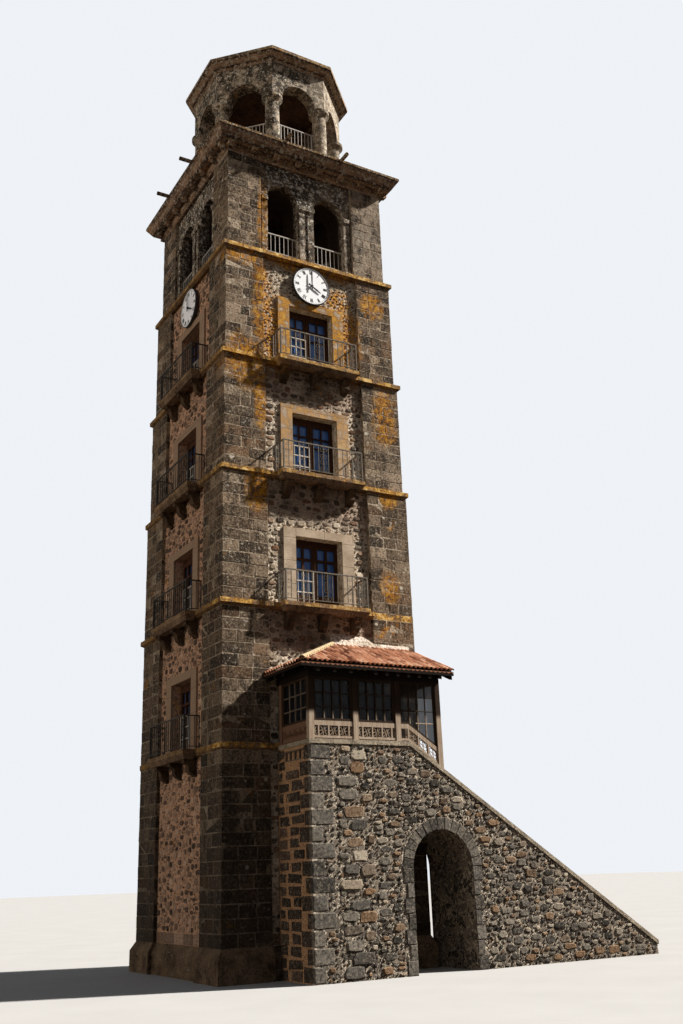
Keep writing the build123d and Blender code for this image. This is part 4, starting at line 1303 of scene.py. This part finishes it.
def make_porch_bars(material, side_material):
    """Glazing bars of the porch windows, and the lattice over the stair's bay."""
    mesh = Mesh("porch_glazing_bars", material)
    beside = Mesh("porch_side_bars", side_material)
    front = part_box("porch_base")[0].y
    low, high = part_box("porch_windows")
    y = (front + 0.035, front + 0.078)
    behind = (y[0] + 0.003, y[1] - 0.003)
    top = high.z - 0.05
    sill = COPING_TOP + HANDRAIL
    for k in range(3):
        x0, x1 = POSTS[k] + POST_HALF + WINDOW_GAP, POSTS[k + 1] - POST_HALF - WINDOW_GAP
        for x in quarters(x0, x1):
            bar(mesh, "front", about(x, 0.011), y, (sill - fall(x), top))
        for z in WINDOW_RAILS:
            bar(mesh, "front", (x0 - 0.02, x1 + 0.02), behind, about(z, 0.011))
    bar(mesh, "front", (1.75, x1 + 0.02), behind, (5.886, 5.914))
    window_lattice(mesh, x0, x1, top, on_face("front", front + 0.04, 1))
    x = (low.x + 0.01, low.x + 0.05)
    y0 = front + 2 * POST_HALF + WINDOW_GAP
    y1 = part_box("porch_posts")[1].y - 2 * POST_HALF - WINDOW_GAP
    for u in quarters(y0, y1):
        beside.box(cuboid(x, about(u, 0.016), (sill, top), 0.004))
    for z in WINDOW_RAILS:
        beside.box(cuboid(x, (y0 - 0.02, y1 + 0.02), about(z, 0.016), 0.004))
    mesh.make()
    beside.make()


def make_vent(material):
    """Frame and bars of the small vent in the porch's left wall."""
    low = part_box("porch_base")[0]
    mesh = Mesh("porch_vent", material)
    x = (low.x + 0.004, low.x + 0.045)
    y0, y1 = low.y + 0.32, low.y + 1.32
    z0, z1 = 4.99, 5.24
    rim = 0.03
    limits = [((y0, y1), (z0, z0 + rim)), ((y0, y1), (z1 - rim, z1)), ((y0, y0 + rim), (z0, z1)),
              ((y1 - rim, y1), (z0, z1))]
    limits += [(about(u, 0.018), (z0, z1)) for u in quarters(y0, y1)]
    for y, z in limits:
        mesh.box(cuboid(x, y, z, 0.005))
    mesh.make()


# Stage

def direct_view(graph):
    """1 for rays that show the floor or backdrop directly, in a mirror or through glass."""
    path = graph.node("ShaderNodeLightPath")
    names = ("Is Camera Ray", "Is Glossy Ray", "Is Transmission Ray")
    return graph.most(*(Value(graph, path.outputs[name]) for name in names))


def make_stage():
    s = Shader("studio_floor", roughness=0.95)
    pale = s.mix(s.fade(s.noise(0.5), 0.3, 0.7), (0.345, 0.34, 0.33), (0.37, 0.365, 0.355))
    s.base = s.mix(direct_view(s), (0.055, 0.043, 0.032), pale)
    bpy.ops.mesh.primitive_plane_add(size=400, location=(0, 0, 0))
    floor = bpy.context.object
    floor.name = "studio_floor"
    floor.data.materials.append(s.done())


def make_world():
    world = bpy.data.worlds.new("studio")
    world.use_nodes = True
    bpy.context.scene.world = world
    graph = Graph(world.node_tree)
    light = graph.tree.nodes["Background"]
    light.inputs["Color"].default_value = (0.85, 0.90, 1.0, 1.0)
    light.inputs["Strength"].default_value = 0.17
    seen = graph.value("ShaderNodeBackground", 0, {"Color": (0.86, 0.89, 0.93, 1.0), "Strength": 1.0})
    blend = graph.value("ShaderNodeMixShader", 0, {
        0: direct_view(graph), 1: Value(graph, light.outputs[0]), 2: seen})
    graph.tree.links.new(blend.socket, graph.tree.nodes["World Output"].inputs["Surface"])


def make_sun(name, energy, spread, colour, travel):
    light = bpy.data.lights.new(name, "SUN")
    light.energy = energy
    light.angle = math.radians(spread)
    light.color = colour
    lamp = bpy.data.objects.new(name, light)
    lamp.rotation_euler = Vector(travel).to_track_quat("-Z", "Y").to_euler()
    bpy.context.scene.collection.objects.link(lamp)


def make_lights():
    """The sun high on the right, and warm light back from the ground on the left."""
    make_sun("key", 10.6, 2.5, (1.0, 0.955, 0.90), (-2.65, 1.0, -2.4))
    make_sun("fill", 2.1, 40.0, (1.0, 0.86, 0.70), (1.0, 0.05, 0.12))


def make_camera():
    """The camera that took the photograph, solved from the tower's edges."""
    data = bpy.data.cameras.new("camera")
    data.sensor_width = 36.0
    data.lens = 36.736
    data.clip_end = 500.0
    camera = bpy.data.objects.new("camera", data)
    heading, tilt, roll = math.radians(-30.35), math.radians(19.09), math.radians(-2.057)
    rotation = (Matrix.Rotation(heading, 4, "Z") @ Matrix.Rotation(math.pi / 2 + tilt, 4, "X")
                @ Matrix.Rotation(roll, 4, "Z"))
    camera.matrix_world = Matrix.Translation((-13.382, -27.001, 2.33)) @ rotation
    bpy.context.scene.collection.objects.link(camera)
    bpy.context.scene.camera = camera


def dress(material, *nodes):
    """Gives solids their material."""
    for node in nodes:
        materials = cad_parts[node].data.materials
        materials.clear()
        materials.append(material)
    return material


def dress_stone():
    dress(moulding_material("plinth_stone", (0.05, 0.033, 0.021), (0.19, 0.13, 0.08), 0.0, 0.15), "plinth")
    dress(mortar_material("ashlar_joints", (0.42, 0.34, 0.25), (0.20, 0.15, 0.10), 0.4, ground_shade=0.65),
          "corner_piers")
    dress(mortar_material("rubble_mortar", (0.66, 0.57, 0.45), (0.40, 0.32, 0.235), 0.75, (0.78, 0.46, 0.29)),
          *[wall_node(name) for name in SHAFT_STOREYS])
    dress(moulding_material("string_stone", (0.05, 0.032, 0.02), (0.22, 0.13, 0.06), 0.6, 0.3, 0.95),
          "string_courses")
    # Dark stone: painted shade inside the tower, on its floors and under the lantern's roof.
    dress(moulding_material("inner_stone", (0.03, 0.018, 0.012), (0.12, 0.07, 0.045), 0.0, 0.1),
          "floors", "lantern_roof")
    dress(moulding_material("cornice_stone", (0.05, 0.030, 0.020), (0.30, 0.185, 0.12), 0.7, 0.9, 0.22,
                            lines="square"), "main_cornice", "cornice_modillions", "waterspouts")
    dress(moulding_material("crown_stone", (0.07, 0.042, 0.027), (0.36, 0.235, 0.15), 0.7, 0.9, 0.3,
                            lines="eight"), "lantern_cornice")
    dress(speckled_material("belfry_stone", True, (0.14, 0.105, 0.078), (0.36, 0.28, 0.205), 0.4, 1.0, 2.45),
          "belfry_walls")
    dress(speckled_material("lantern_stone", False, (0.27, 0.21, 0.15), (0.56, 0.46, 0.34), 0.3, 0.8, 1.75),
          "lantern_piers", "lantern_arches")
    dress(dressed_material(), "door_surrounds")
    dress(moulding_material("balcony_stone", (0.07, 0.045, 0.028), (0.24, 0.16, 0.10), 0.4, 0.2, 0.55, 0.9),
          "balcony_slabs")
    # Dark corbels: painted shade under the balcony slabs.
    dress(moulding_material("corbel_stone", (0.03, 0.018, 0.011), (0.11, 0.07, 0.042), 0.3, 0.2),
          "balcony_corbels")
    dress(porch_wall_material(), "porch_base", "stair_walls", "stair_core")
    dress(moulding_material("coping_stone", (0.20, 0.165, 0.12), (0.36, 0.30, 0.22), 0.0, 0.3, joints=0.8),
          "stair_steps", "porch_coping", "porch_landing")
    dress(mortar_material("lime_fillet", (0.66, 0.56, 0.47), (0.44, 0.36, 0.28), 0.0), "porch_flashing")


def dress_fittings():
    dress(iron_material("pale_iron", (0.36, 0.34, 0.31), (0.52, 0.49, 0.45)),
          "lantern_railings", "belfry_railings")
    # The panes' blue is a painted reflection of the sky.
    dress(glass_material("pane_glass", (0.08, 0.21, 0.60)), "door_glass")
    # Near black glass: painted shade of the porch's inside, seen through it.
    dress(glass_material("porch_glass", (0.010, 0.011, 0.013), 0.7, 0.3), "porch_glass")
    dress(dial_material(), "clock_dials")
    # Dark window timber: painted shade under the porch's eave.
    dress(timber_material("window_timber", (0.010, 0.006, 0.004), (0.06, 0.035, 0.02)), "porch_windows")
    # Near black boards: painted shade under the porch roof.
    dress(timber_material("roof_boards", (0.004, 0.0025, 0.0016), (0.016, 0.010, 0.006), (30.0, 1.5, 30.0)),
          "porch_plates", "porch_rafters")
    dress(eave_material(), "porch_roof")


bpy.context.scene.view_settings.view_transform = "Standard"
make_camera()
make_world()
make_lights()
make_stage()
dress_stone()
dress_fittings()
iron = dress(iron_material("wrought_iron", (0.08, 0.072, 0.06), (0.23, 0.205, 0.17)),
             "balcony_front_rails", "balcony_side_rails")
joinery = dress(timber_material("door_joinery", (0.025, 0.011, 0.007), (0.09, 0.04, 0.02)), "balcony_doors")
black = dress(black_material(), "front_hour_hand", "front_minute_hand", "left_hour_hand", "left_minute_hand")
# Porch wood: the dark wood is painted shade above the eave's shadow line, and the paler wood below it is
# painted sunlight.
timber = dress(timber_material("porch_timber", (0.010, 0.006, 0.004), (0.06, 0.035, 0.02), with_eave_light_and_side_tint=True),
               "porch_posts", "porch_balustrades")
side_bars = timber_material("side_glazing_bars", (0.07, 0.055, 0.04), (0.24, 0.19, 0.15))

make_piers(ashlar_material())
make_rubble(rubble_material())
# The pale joinery of the door lattice is painted sunlight.
make_door_bars(joinery, timber_material("pale_joinery", (0.42, 0.39, 0.33), (0.66, 0.62, 0.55)))
make_scrolls(iron)
make_numerals(black)
make_tiles(tile_material())
make_porch_stones(porch_stone_material())
make_fretwork(timber)
# Front glazing bars: a darker copy of the side bars' wood, painted shade under the eave, paler below its
# shadow line as painted sunlight.
make_porch_bars(timber_material("glazing_bars", (0.018, 0.012, 0.008), (0.075, 0.052, 0.036), with_eave_light_and_side_tint=True),
                side_bars)
make_vent(side_bars)
